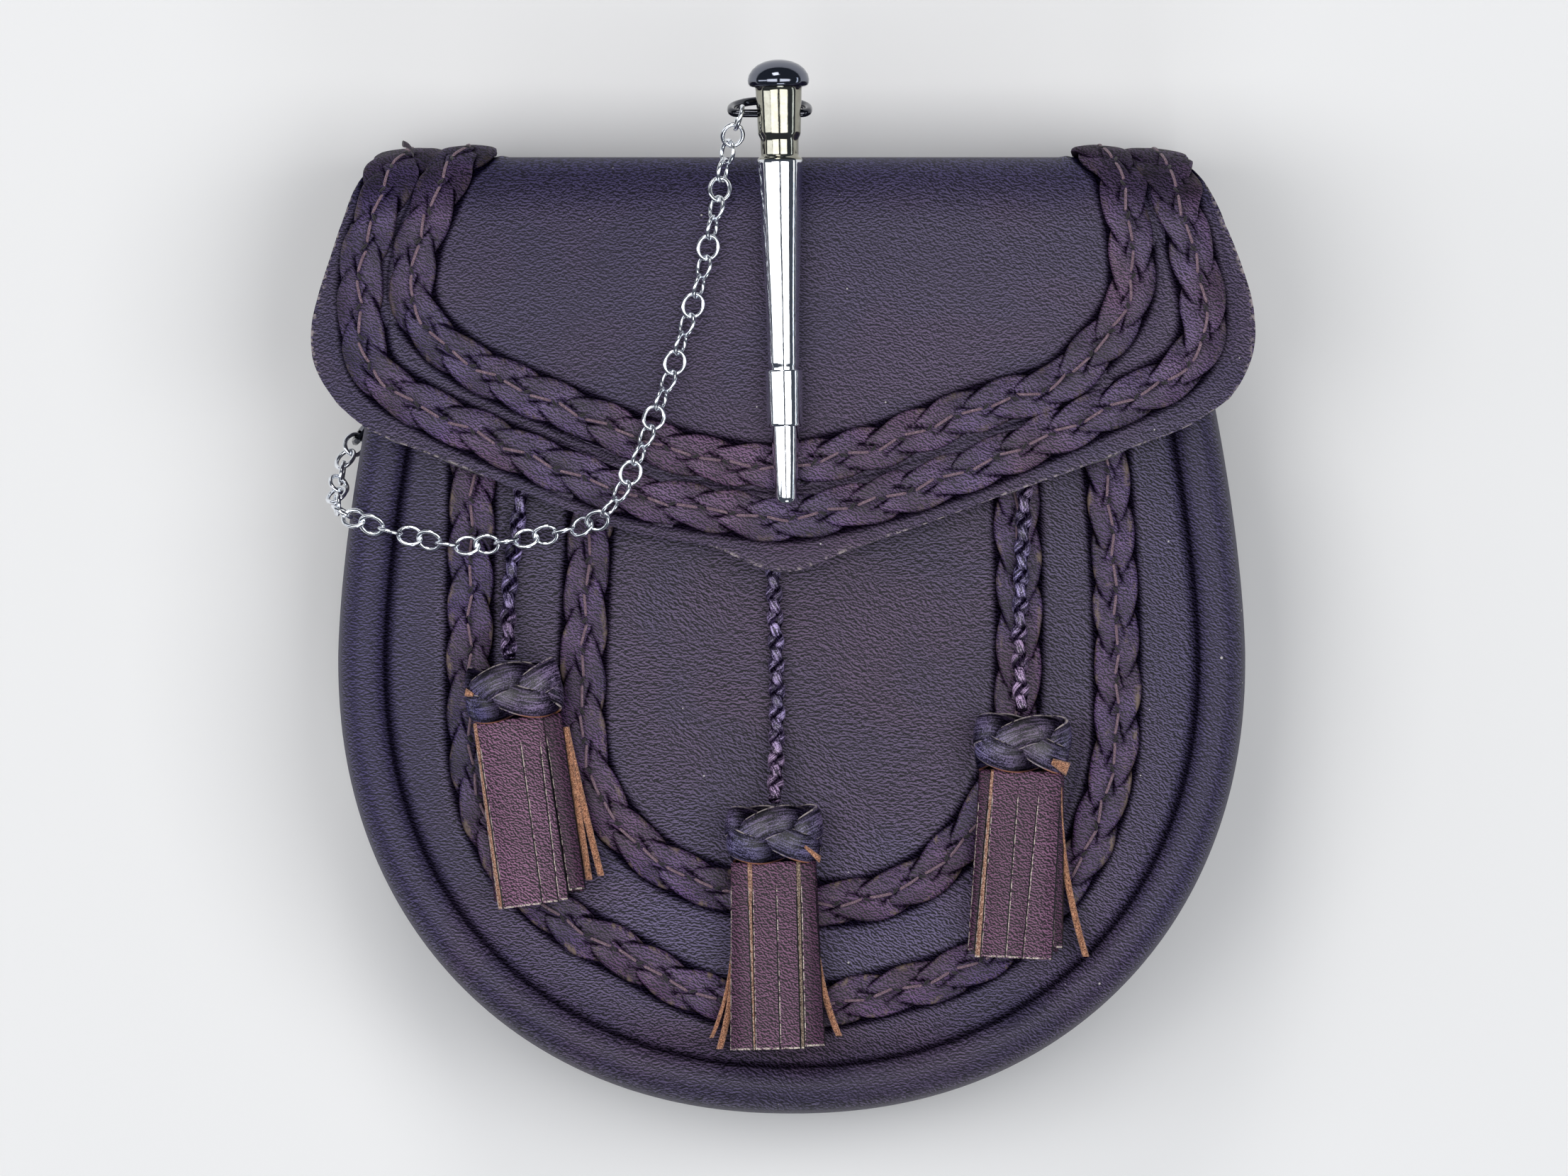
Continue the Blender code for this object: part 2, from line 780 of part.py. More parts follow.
def knot(side, material):
    x, y, lean = KNOTS[side]
    half_width, half_depth = KNOT_HALF
    shape = (
        (0.0, 0.0),
        (0.0, 0.72),
        (0.12, 0.93),
        (0.5, 1.0),
        (0.88, 0.93),
        (1.0, 0.78),
        (1.0, 0.0),
    )
    profile = [(along * KNOT_LENGTH, radius * half_width) for along, radius in shape]
    place = tassel_frame(x, y, lean, TASSEL_FLOOR + half_depth)
    flat = Matrix.Diagonal((1.0, half_depth / half_width, 1.0, 1.0))
    centring = Matrix.Translation((0.0, 0.0, KNOT_LENGTH / 2))
    return turned(f"knot_{side}", profile, 14, place @ flat @ centring, material)


def tassel_frame(x, y, lean, z):
    """Local Z up the tassel, local X across it and local Y down into the front."""
    turn = Matrix.Rotation(math.radians(lean), 4, "Z")
    upright = Matrix(((1, 0, 0, 0), (0, 0, 1, 0), (0, -1, 0, 0), (0, 0, 0, 1)))
    return Matrix.Translation((x, y, z)) @ turn @ upright


def skirt(side, material):
    """A roll of leather cut into strips, which are fused to its uncut head."""
    x, y, lean = KNOTS[side]
    frame = tassel_frame(x, y, lean, TASSEL_FLOOR)
    start = -KNOT_LENGTH / 2 - GAP

    def around(share, angle, grow=0.0):
        """The tassel's oval at a share of its length."""
        half_width = SKIRT_TOP[0] + (SKIRT_FOOT[0] - SKIRT_TOP[0]) * share
        half_depth = SKIRT_TOP[1] + (SKIRT_FOOT[1] - SKIRT_TOP[1]) * share
        across = (half_width - STRIP_THICK / 2 + grow) * math.cos(angle)
        depth = (half_depth - STRIP_THICK / 2 + grow) * math.sin(angle)
        return Vector((across, depth - half_depth, start - share * SKIRT_LENGTH))

    turns = np.linspace(0.0, 2 * math.pi, 73)
    spots = evenly(np.stack([np.cos(turns), np.sin(turns)], axis=1) * SKIRT_TOP, STRIPS + 1)[:-1]
    strips = []
    for number, spot in enumerate(spots):
        angle = math.atan2(spot[1] / SKIRT_TOP[1], spot[0] / SKIRT_TOP[0])
        along = Vector((-SKIRT_TOP[0] * math.sin(angle), SKIRT_TOP[1] * math.cos(angle), 0)).normalized()
        out = along.cross(Vector((0, 0, 1)))
        reach = 1.0 - 0.03 * (number % 3)
        sections = []
        for share in (0.03, 0.5 * reach, reach):
            middle = around(share, angle)
            half, thick = along * STRIP_WIDTH / 2, out * STRIP_THICK / 2
            corners = (middle - half - thick, middle - half + thick, middle + half + thick, middle + half - thick)
            sections.append([frame @ corner for corner in corners])
        strips.append(loft_mesh(sections))
    made = mesh_object(f"skirt_{side}", *joined(strips), material)

    oval = [2 * math.pi * i / 14 for i in range(14)]
    sections = []
    for along in (0.0, SKIRT_HEAD):
        sections.append([frame @ around(along / SKIRT_LENGTH, -angle, STRIP_THICK * 0.6) for angle in oval])
    head = mesh_object(f"skirt_head_{side}", *loft_mesh(sections), material)
    combine(made, head, "UNION", own_crossings=True)
    return made


def cord(side, material):
    route = CORDS[side]
    count = round(np.linalg.norm(np.diff(route, axis=0), axis=1).sum() / (5 * CORD_RADIUS)) + 1
    return tube(f"cord_{side}", evenly(spline_points(route, 8), count), CORD_RADIUS, material)


# Metal pieces


def peg_way():
    return (Vector(PEG_TIP) - Vector(PEG_TOP)).normalized()


def peg_place(distance):
    """Where the peg's axis is, this far from its domed end."""
    return Vector(PEG_TOP) + peg_way() * distance


def peg_matrix(distance):
    """Local Z up the peg's axis, from a place on it."""
    up = -peg_way()
    x, y = peg_place(distance)
    side = Vector((up.y, -up.x))
    return Matrix(((side.x, 0, up.x, x), (side.y, 0, up.y, y), (0, -1, 0, PEG_Z), (0, 0, 0, 1)))


def peg(material):
    made = turned("pin", PEG, PEG_STEPS, peg_matrix(0.0), material)
    hole = rod(
        "ring_hole",
        (RING_X - 10 * MM, RING_Y, PEG_Z),
        (RING_X + 10 * MM, RING_Y, PEG_Z),
        RING_HOLE,
        10,
        material,
    )
    combine(made, hole, "DIFFERENCE")
    return made


def pin_keeper(material):
    """A tube round the peg, on a post that goes through the flap to a foot on the front panel."""
    middle = KEEPER_FROM + KEEPER_LENGTH / 2
    profile = (
        (0.0, KEEPER_BORE),
        (0.0, KEEPER_RADIUS),
        (KEEPER_LENGTH, KEEPER_RADIUS),
        (KEEPER_LENGTH, KEEPER_BORE),
        (0.0, KEEPER_BORE),
    )
    made = turned("pin_keeper", profile, PEG_STEPS, peg_matrix(KEEPER_FROM), material)
    x, y = peg_place(middle)
    half_width, half_length = KEEPER_POST[0] / 2, KEEPER_POST[1] / 2
    floor = PANEL_Z + dome(x, y) + GAP
    low = floor + KEEPER_FOOT[2] / 2
    high = PEG_Z - (KEEPER_BORE + KEEPER_RADIUS) / 2
    post = box("keeper_post", (x - half_width, y - half_length, low), (x + half_width, y + half_length, high), material)
    foot_x, foot_y = KEEPER_FOOT[0] / 2, KEEPER_FOOT[1] / 2
    foot = box(
        "keeper_foot",
        (x - foot_x, y - foot_y, floor),
        (x + foot_x, y + foot_y, floor + KEEPER_FOOT[2]),
        material,
    )
    combine(made, post, "UNION")
    combine(made, foot, "UNION")
    return made


def head_ring(material):
    """A D-shaped ring whose straight side goes through the peg's head."""
    down = Vector((0, math.sin(RING_TILT), math.cos(RING_TILT)))
    centre = Vector((RING_X, RING_Y, PEG_Z))
    shape = spline_points(RING_SHAPE, 2, closed=True)
    route = [centre + Vector((1, 0, 0)) * across + Vector((0, -down.y, down.z)) * along for across, along in shape]
    return tube("head_ring", route, RING_WIRE, material, bevel_resolution=1, closed=True)


def chain_frames():
    """The links in order: centre, the way the chain goes and the way the link's plane faces."""
    dense = spline_points(CHAIN_ROUTE, 40)
    centres = [Vector(dense[0])]
    for place in dense:
        if (Vector(place) - centres[-1]).length >= LINK_PITCH:
            step = (Vector(place) - centres[-1]).normalized()
            centres.append(centres[-1] + step * LINK_PITCH)
    frames = []
    facing = Vector((1, 0, 0))
    for i, centre in enumerate(centres):
        way = (centres[min(i + 1, len(centres) - 1)] - centres[max(i - 1, 0)]).normalized()
        facing = (facing - way * facing.dot(way)).normalized()
        roll = 0.0 if i == 0 else math.radians(90.0) + LINK_TWIST * (i - 1)
        frames.append((centre, way, Matrix.Rotation(roll, 3, way) @ facing))
    return frames


def link_mesh(centre, way, facing):
    """One oval link: a ring of round wire whose corners point at the link's middle."""
    side = facing.cross(way)
    half_length = (LINK_LENGTH / 2 - LINK_WIRE) / math.cos(math.pi / LINK_SIDES)
    half_width = LINK_WIDTH / 2 - LINK_WIRE
    points = []
    for step in range(LINK_SIDES):
        angle = 2 * math.pi * (step + 0.5) / LINK_SIDES
        out = way * math.cos(angle) + side * math.sin(angle)
        middle = centre + way * half_length * math.cos(angle) + side * half_width * math.sin(angle)
        for corner in range(WIRE_SIDES):
            turn = 2 * math.pi * corner / WIRE_SIDES
            points.append(middle + LINK_WIRE * (-out * math.cos(turn) + facing * math.sin(turn)))
    faces = []
    for step in range(LINK_SIDES):
        after = (step + 1) % LINK_SIDES
        for corner in range(WIRE_SIDES):
            beside = (corner + 1) % WIRE_SIDES
            low, high = step * WIRE_SIDES, after * WIRE_SIDES
            faces.append((low + corner, low + beside, high + beside, high + corner))
    return points, faces


def chain(material):
    """All the links in one body: every second link is one mesh, and the rest are joined to it where they bite."""
    links = [link_mesh(*frame) for frame in chain_frames()]
    made = mesh_object("chain", *joined(links[::2]), material)
    others = mesh_object("chain_others", *joined(links[1::2]), material)
    combine(made, others, "UNION")
    return made


def chain_anchor(material):
    """An eye that the chain's last link goes through, on a rivet plate on the gusset."""
    centre, way, facing = chain_frames()[-1]
    grip = LINK_LENGTH / 2 - 2 * LINK_WIRE - GAP - EYE_WIRE
    middle = centre + way * (grip + EYE_RADIUS)
    route = []
    for step in range(12):
        angle = 2 * math.pi * step / 12
        route.append(middle + EYE_RADIUS * (way * math.cos(angle) + facing * math.sin(angle)))
    eye = tube("eye", route, EYE_WIRE, material, bevel_resolution=1, closed=True)
    made = mesh_from_curve("chain_anchor", eye, material)
    plate_x = Vector((EYE_PLATE_X - GAP, middle.y, middle.z))
    rivet = rod("eye_plate", plate_x, plate_x - Vector((EYE_PLATE[1], 0, 0)), EYE_PLATE[0], 12, material)
    neck_end = middle + way * EYE_RADIUS
    neck = rod("eye_neck", neck_end, plate_x - Vector((EYE_PLATE[1] / 2, 0, 0)), EYE_WIRE * 1.3, 8, material)
    combine(made, neck, "UNION")
    combine(made, rivet, "UNION")
    return made


def mesh_from_curve(name, curve_object, material):
    """A curve made a mesh, so that a Boolean can join it."""
    bpy.context.view_layer.update()
    graph = bpy.context.evaluated_depsgraph_get()
    mesh = bpy.data.meshes.new_from_object(curve_object.evaluated_get(graph))
    mesh.name = name
    shape = bmesh.new()
    shape.from_mesh(mesh)
    bmesh.ops.remove_doubles(shape, verts=shape.verts, dist=0.00001)
    bmesh.ops.recalc_face_normals(shape, faces=shape.faces)
    shape.to_mesh(mesh)
    shape.free()
    made = bpy.data.objects.new(name, mesh)
    made.matrix_world = curve_object.matrix_world
    PARTS.objects.link(made)
    bpy.data.objects.remove(curve_object)
    return made


def build():
    leather = surface_material("pouch_leather", LEATHER, 0.5)
    flap_leather = surface_material("flap_leather", LEATHER, 0.5)
    side_leather = surface_material("side_leather", BACK_LEATHER, 0.55)
    back_leather = surface_material("back_leather", BACK_LEATHER, 0.55)
    plait_leather = surface_material("plait_leather", PLAIT_LEATHER, 0.48)
    cord_leather = surface_material("cord_leather", CORD_LEATHER, 0.35)
    knot_leather = surface_material("knot_leather", KNOT_LEATHER, 0.32)
    skirt_leather = surface_material("skirt_leather", SKIRT_LEATHER, 0.5)
    peg_metal = surface_material("pin_metal", METAL, 0.08, 1.0)
    ring_metal = surface_material("ring_metal", METAL, 0.12, 1.0)
    chain_metal = surface_material("chain_metal", METAL, 0.15, 1.0)

    front_panel(leather)
    gusset(side_leather)
    back_panel(back_leather)
    flap(flap_leather)
    flap_plait("flap_plait_outer", FLAP_OUTER, 42, plait_leather)
    flap_plait("flap_plait_inner", FLAP_INNER, 39, plait_leather)
    front_plait("front_plait_outer", FRONT_OUTER, 29, plait_leather)
    front_plait("front_plait_inner", FRONT_INNER, 24, plait_leather)
    for side in KNOTS:
        cord(side, cord_leather)
        knot(side, knot_leather)
        skirt(side, skirt_leather)
    peg(peg_metal)
    pin_keeper(peg_metal)
    head_ring(ring_metal)
    chain(chain_metal)
    chain_anchor(ring_metal)
    belt_loop("belt_loop_left", -LOOP_X, back_leather)
    belt_loop("belt_loop_right", LOOP_X, back_leather)


for existing in list(bpy.data.objects):
    bpy.data.objects.remove(existing, do_unlink=True)
PARTS = collection("sporran_pouch")
HELPERS = collection("helpers")
build()
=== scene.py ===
"""The looks of the leather sporran pouch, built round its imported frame.

The pouch lies on its back and is seen from straight above, as in the photograph. Lengths are metres. Places that
were read off the photograph are kept as its pixels, in tables named _PX, and spot() turns them into metres.
"""

from math import asin, atan, copysign, cos, exp, inf, pi, radians, sin, sqrt
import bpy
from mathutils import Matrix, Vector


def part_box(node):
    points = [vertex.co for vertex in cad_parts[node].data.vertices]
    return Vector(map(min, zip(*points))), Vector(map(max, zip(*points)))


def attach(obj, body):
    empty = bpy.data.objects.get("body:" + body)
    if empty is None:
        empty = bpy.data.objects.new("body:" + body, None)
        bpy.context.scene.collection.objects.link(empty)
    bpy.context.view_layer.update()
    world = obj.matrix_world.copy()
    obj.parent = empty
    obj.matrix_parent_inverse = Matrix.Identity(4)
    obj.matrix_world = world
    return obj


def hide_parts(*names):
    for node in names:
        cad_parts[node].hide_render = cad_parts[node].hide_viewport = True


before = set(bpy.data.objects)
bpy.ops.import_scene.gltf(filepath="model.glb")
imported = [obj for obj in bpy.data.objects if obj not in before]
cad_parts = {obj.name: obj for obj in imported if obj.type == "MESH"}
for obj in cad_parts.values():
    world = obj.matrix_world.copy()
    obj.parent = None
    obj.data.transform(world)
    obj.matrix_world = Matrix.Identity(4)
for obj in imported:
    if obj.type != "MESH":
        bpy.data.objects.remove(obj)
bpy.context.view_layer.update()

from types import SimpleNamespace

import bmesh
import bpy
import numpy as np
from mathutils import Matrix, Vector, noise

MM = 0.001
BODY = "root"

# The photograph: its size in pixels, one pixel in metres, and the pixel above the origin
PHOTO_SIZE = (2212, 1659)
PX = 0.145 * MM
MIDDLE_PX = (1104.5, 828.5)
CAMERA_DISTANCE = 6.0
FOCUS_Z = 50.0 * MM
FLOOR_HALF = 3.0
SHARP_ANGLE = radians(42.0)

# Heights and sizes that the pieces share, read from the frame where it has them
FLAP_LOW, FLAP_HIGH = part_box("flap")
FLAP_Z = FLAP_HIGH[2]
FOLD_Y = FLAP_HIGH[1]
BACK_LEG_Z = FLAP_LOW[2]
FOLD_RADIUS = 14.0 * MM
BACK_RADIUS = 10.0 * MM
BACK_LEG = 15.0 * MM
FLAP_THICK = 2.6 * MM
FRONT_BEND = FOLD_RADIUS * pi / 2
FOLD_TOP = FLAP_Z - FOLD_RADIUS - BACK_RADIUS - BACK_LEG_Z
BACK_BEND = BACK_RADIUS * pi / 2
FLAP_COLUMNS, FLAP_ROWS = 170, 84
FLAP_REACH = (96.0, 84.0)  # about how far its edge is from its middle and from the fold, in millimetres
DROOP_START = 62.0 * MM
DROOP_END = 96.6 * MM
DROOP = 7.0 * MM

BODY_X = 1.8 * MM
WIDEST_Y = -14.7 * MM
HALF_WIDTH = 92.9 * MM
BOWL_DEPTH = 93.1 * MM
BOWL_POWER = 2.15
SHOULDER_TAPER = 5.5 * MM
SHOULDER_RISE = 47.9 * MM
SHOULDER_POWER = 1.6
BODY_TOP_Y = 74.0 * MM
PANEL_Z = 45.7 * MM
DOME_RISE = 0.8 * MM
FRONT_THICK = 2.2 * MM
GUSSET_THICK = 1.8 * MM
GROOVE_INSET = 9.6 * MM
WALL_TOP = 42.4 * MM  # the rim turns down below this
# The front panel from its outer edge inwards: inset from the outline, height
RIM = MM * np.array([
    (0.35, 34.0), (0.35, 36.6), (0.05, 37.6), (0.0, 38.8), (0.9, 42.6), (2.9, 45.2), (5.4, 46.0), (7.6, 45.5),
    (8.9, 44.6), (9.7, 43.9), (10.4, 44.5), (11.6, 45.3), (14.0, 45.7),
])
# The gusset from the back upwards: height, inset
GUSSET = MM * np.array([(10.7, 2.8), (17.0, 4.8), (27.0, 5.2), (38.0, 2.8)])

# The flap's outline in the photograph
FLAP_LEFT_PX = [(481, 317), (476, 330), (466, 360), (456, 390), (447, 420), (440, 450), (438, 480),
                (442, 510), (455, 540), (476, 570)]
FLAP_RIGHT_PX = [(1729, 317), (1735, 330), (1747, 360), (1758, 390), (1767, 420), (1771, 450), (1771, 480),
                 (1765, 510), (1751, 540), (1734, 563)]
FLAP_FOOT_PX = [(476, 570), (512, 601), (553, 621), (627, 649), (706, 680), (808, 713), (874, 733), (961, 756),
                (1012, 774), (1058, 795), (1085, 804), (1107, 807), (1129, 804), (1153, 795), (1204, 774),
                (1306, 739), (1403, 703), (1510, 665), (1612, 626), (1673, 603), (1709, 580), (1734, 563)]
# Its sides over the fold: height of the pixel row, left, right
FLAP_FOLD_PX = [(317, 481, 1729), (300, 487, 1723), (285, 492, 1716), (270, 498, 1708), (255, 506, 1699),
                (221, 526, 1676)]

# The plaits' centre lines in the photograph, from the top left round to the top right
FLAP_OUTER_PX = [(563, 228), (545, 264), (535, 300), (524, 332), (515, 361), (511, 400), (511, 448), (518, 500),
                 (536, 534), (573, 560), (619, 586), (665, 608), (716, 631), (777, 656), (829, 677), (885, 697),
                 (941, 709), (992, 717), (1053, 727), (1105, 732), (1160, 724), (1218, 710), (1265, 698),
                 (1316, 681), (1383, 656), (1423, 639), (1474, 617), (1520, 597), (1576, 570), (1621, 550),
                 (1661, 527), (1686, 497), (1697, 463), (1696, 427), (1689, 392), (1680, 354), (1668, 310),
                 (1656, 274), (1648, 239)]
FLAP_INNER_PX = [(635, 239), (624, 264), (610, 297), (596, 330), (586, 368), (581, 408), (588, 440), (607, 467),
                 (635, 494), (670, 518), (722, 543), (777, 567), (829, 589), (882, 611), (932, 630), (982, 644),
                 (1033, 654), (1080, 660), (1133, 655), (1185, 643), (1230, 634), (1270, 620), (1308, 605),
                 (1352, 587), (1393, 573), (1440, 560), (1486, 546), (1514, 525), (1541, 496), (1571, 463),
                 (1591, 428), (1597, 390), (1595, 351), (1591, 315), (1584, 279), (1576, 239)]
FRONT_OUTER_PX = [(668, 580), (666, 680), (664, 780), (663, 880), (662, 980), (664, 1065), (676, 1130), (700, 1190),
                  (737, 1245), (788, 1293), (834, 1322), (890, 1351), (945, 1384), (1002, 1408), (1060, 1420),
                  (1117, 1423), (1173, 1418), (1225, 1408), (1275, 1394), (1320, 1383), (1372, 1361), (1425, 1325),
                  (1480, 1272), (1521, 1222), (1545, 1170), (1563, 1115), (1573, 1060), (1576, 1000), (1576, 930),
                  (1575, 860), (1571, 790), (1566, 715), (1561, 657), (1556, 580)]
FRONT_INNER_PX = [(838, 620), (835, 710), (829, 790), (825, 866), (822, 930), (821, 1000), (824, 1055),
                  (836, 1103), (853, 1137), (879, 1172), (912, 1203), (950, 1229), (1000, 1249), (1057, 1264),
                  (1115, 1273), (1168, 1275), (1219, 1271), (1268, 1255), (1310, 1232), (1346, 1200), (1380, 1160),
                  (1409, 1110), (1427, 1055), (1435, 990), (1438, 900), (1437, 800), (1434, 700), (1428, 600)]

# Plaits: three flat laces
LACE_WIDTH = 5.0 * MM
LACE_THICK = 1.35 * MM
LACE_FLAT = 0.5  # the smaller, the flatter a lace's top
PLAIT_SWING = 2.25 * MM  # how far a lace goes to each side
PLAIT_WEAVE = 0.46 * MM  # how far it goes up and down
PLAIT_PERIOD = 34.0 * MM
PLAIT_FLOOR = 0.15 * MM  # above the leather that it is sewn to
PLAIT_STEP = 0.6 * MM
LAP_REACH = 0.42 * MM  # how close to another lace the painted shade on a lace reaches
LAP_HEIGHT = 0.24 * MM  # how much higher the other one has to be for the full painted shade
VALLEY_HALF = 0.85 * MM  # half the valley that the stitches lie in, which is painted dark as shade
RUB_START = 3.3 * MM  # a plait's sides are rubbed from here outwards
LACE_DISH = 0.15  # a lace at the plait's side leans outwards by this much
STITCH_PITCH = 6.1 * MM
STITCH_LENGTH = 5.2 * MM
STITCH_RADIUS = 0.3 * MM
HOLE_REACH = 0.7 * MM
HOLE_RADIUS = 0.36 * MM
SEAM_RADIUS = 0.26 * MM
WELT = MM * np.array([  # the leather beside a plait: distance from the plait's border, height, painted shade
    (-2.0, 0.03, 1.0), (-0.4, 0.03, 1.0), (0.1, 0.05, 0.95), (0.5, 0.16, 0.6), (0.9, 0.26, 0.25), (1.4, 0.26, 0.06),
    (2.0, 0.14, 0.0), (2.6, 0.03, 0.0),
])

# Tassels
CORD_RADIUS = 1.75 * MM
CORD_PERIODS = {"left": 13.4 * MM, "centre": 9.8 * MM, "right": 11.7 * MM}
CORD_STRAND = (1.1 * MM, 0.52 * MM)  # half width, half thickness
CORD_LINGER = 0.6  # how much straighter a strand runs where it passes the cord's front
TASSEL_FLOOR = 49.2 * MM
KNOT_HALF = (10.1 * MM, 5.5 * MM)
KNOT_LENGTH = 11.6 * MM
KNOT_LACE = (2.95 * MM, 0.62 * MM)  # half width, half thickness
KNOT_BIGHTS = 4
KNOT_STEPS = 240
CUT_START = 0.92  # how far across a knot's lace its pale cut sides start
# The roll inside a knot: distance from its top, share of the knot's half width
KNOT_CORE = [(0.6 * MM, 0.0), (0.6 * MM, 0.60), (1.4 * MM, 0.78), (KNOT_LENGTH - 1.4 * MM, 0.78),
             (KNOT_LENGTH - 0.4 * MM, 0.66), (KNOT_LENGTH - 0.4 * MM, 0.0)]
SKIRT_HALF = (8.9 * MM, 4.6 * MM)
STRIP_THICK = 1.15 * MM
SKIRT_LENGTH = 38.3 * MM
SKIRT_HEAD = 5.0 * MM  # the cuts start this far down
SIDE_STRIP_DEPTH = 3.6 * MM
BACK_STRIP_PITCH = 3.3 * MM
BACK_STRIP_HALF = 1.55 * MM
TAN_START = 4.6 * MM  # a knot's cut sides are tan from here downwards
# Cord routes down the front: x, y, height of the axis above the floor
CORDS = {
    "left": MM * np.array([
        (-53.4, 32.0, 48.6), (-53.6, 19.0, 48.4), (-54.8, 9.6, 48.3), (-55.9, 0.0, 48.5), (-56.2, -8.0, 50.9),
        (-55.9, -14.3, 53.9),
    ]),
    "centre": MM * np.array([
        (-2.6, 17.0, 48.7), (-2.0, 3.0, 48.7), (-1.4, -12.0, 48.7), (-1.2, -26.0, 48.8), (-1.4, -36.5, 50.9),
        (-1.7, -43.7, 53.9),
    ]),
    "right": MM * np.array([
        (49.6, 30.0, 50.8), (49.4, 19.0, 50.8), (48.8, 4.0, 50.8), (48.4, -10.0, 50.8), (48.5, -18.0, 52.1),
        (48.8, -25.2, 53.9),
    ]),
}
# Each knot's middle, x and y, and its lean in degrees
KNOTS = {
    "left": (-55.0 * MM, -21.2 * MM, 7.0),
    "centre": (-1.8 * MM, -50.5 * MM, 1.5),
    "right": (48.9 * MM, -31.9 * MM, -2.5),
}

# The peg, from its domed end to its tip: distance, radius
PEG = MM * np.array([
    (0.0, 0.0), (0.1, 1.4), (0.45, 2.9), (1.1, 4.3), (2.0, 5.35), (3.1, 6.05), (4.2, 6.3), (4.9, 6.22), (5.35, 5.95),
    (5.6, 5.4), (5.65, 4.9), (5.9, 4.75), (6.6, 4.72), (6.9, 4.71), (14.8, 4.39), (15.1, 4.38), (15.6, 4.2),
    (16.2, 3.92), (16.6, 3.88), (16.8, 3.88), (19.3, 3.86), (19.5, 3.86), (19.85, 4.0), (20.05, 4.35), (20.4, 4.58),
    (21.2, 4.58), (21.5, 4.57), (51.5, 3.4), (61.9, 3.2), (62.2, 3.2), (62.8, 3.0), (63.1, 3.0), (75.4, 2.84),
    (82.5, 2.6), (89.3, 2.22), (89.6, 2.2), (90.35, 2.0), (90.7, 1.6), (90.8, 1.0), (90.8, 0.0),
])
PEG_Z = 60.5 * MM
PEG_TOP = (-1.0 * MM, 107.8 * MM)
PEG_TIP = (0.7 * MM, 17.0 * MM)
PEG_SIDES = 72
KEEPER_FROM = 63.4 * MM
KEEPER = MM * np.array([  # distance from its upper end, radius
    (0.0, 3.35), (0.0, 3.7), (0.15, 3.84), (0.4, 3.86), (0.9, 3.8), (1.1, 3.8), (10.9, 3.62), (11.3, 3.62),
    (11.5, 3.52), (11.6, 3.4), (11.6, 3.3),
])
KEEPER_POST = (3.0 * MM, 7.0 * MM)
KEEPER_FOOT = (14.0 * MM, 13.0 * MM, 1.6 * MM)

RING_X = -2.7 * MM
RING_Y = 96.8 * MM
RING_WIRE = 0.85 * MM
RING_TILT = radians(15.0)
RING_HOLE = 1.15 * MM
RING_SHAPE = MM * np.array([
    (-5.0, 0.0), (5.0, 0.0), (7.1, -0.4), (7.85, -2.4), (7.4, -6.0), (4.6, -9.4), (0.0, -10.8), (-4.6, -9.4),
    (-7.4, -6.0), (-7.85, -2.4), (-7.1, -0.4),
])

LINK_LENGTH = 5.8 * MM
LINK_WIDTH = 5.0 * MM
LINK_WIRE = 0.46 * MM
LINK_BITE = 0.12 * MM
LINK_TWIST = radians(60.0)
LINK_PITCH = LINK_LENGTH - 4 * LINK_WIRE + LINK_BITE
LINK_STEPS = 28
WIRE_STEPS = 10
CHAIN_ROUTE = MM * np.array([
    (-9.0, 95.9, 60.1), (-10.4, 91.9, 58.2), (-11.6, 87.9, 56.2), (-12.4, 84.4, 55.8), (-13.2, 79.4, 57.8),
    (-14.4, 73.5, 58.3), (-16.9, 62.3, 58.2), (-19.4, 54.4, 58.2), (-22.6, 44.4, 58.3), (-25.0, 38.0, 59.2),
    (-27.0, 33.0, 60.4), (-29.4, 27.0, 60.6), (-33.4, 18.9, 60.5), (-35.9, 15.6, 59.7), (-38.6, 13.2, 58.0),
    (-43.0, 12.0, 55.2), (-49.5, 10.5, 53.2), (-55.0, 9.6, 53.0), (-60.4, 8.8, 52.3), (-67.1, 8.6, 51.1),
    (-74.7, 10.2, 49.2), (-80.0, 11.4, 48.8), (-85.5, 13.3, 48.9), (-89.6, 15.0, 46.2), (-91.4, 17.2, 41.0),
    (-91.3, 20.1, 35.8), (-90.3, 24.0, 30.4), (-89.4, 27.6, 27.2), (-87.0, 30.2, 25.6),
])

# The thread's loose end: its pixels and its height in millimetres
THREAD_END_PX = [(583, 219, 50.0), (581, 212, 51.5), (576, 206, 52.0), (569, 203, 52.0)]

LOOP_X = 48.0 * MM
LOOP_Y = 12.0 * MM
LOOP_THICK = 2.4 * MM
LOOP_WIDTH = 26.0 * MM
LOOP_REACH = 30.0 * MM
LOOP_BEND = 4.0 * MM
LOOP_TAB = 7.0 * MM
BACK_Z = 7.2 * MM
BACK_THICK = 2.5 * MM
GAP = 0.3 * MM


# Places and curves


def spot(px, py):
    """A pixel of the photograph as x and y."""
    return np.array(((px - MIDDLE_PX[0]) * PX, (MIDDLE_PX[1] - py) * PX))


def spots(pixels):
    return np.array([spot(*pixel) for pixel in pixels])


def clamp(value, most=1.0):
    """The value, kept between nothing and the most given."""
    return min(most, max(0.0, value))


def circle(count):
    """The cosine and sine of each of this many even turns."""
    return [(cos(turn), sin(turn)) for turn in (2 * pi * step / count for step in range(count))]


def distances(points):
    """How far along a run of points each one lies."""
    return np.concatenate([[0.0], np.cumsum(np.linalg.norm(np.diff(points, axis=0), axis=1))])


def directions(points):
    ways = np.gradient(points, axis=0)
    return ways / np.linalg.norm(ways, axis=1)[:, None]


def read_at(place, along, rows):
    """The rows' values at a place, where along gives the place of each row."""
    return np.array([np.interp(place, along, column) for column in rows.T])


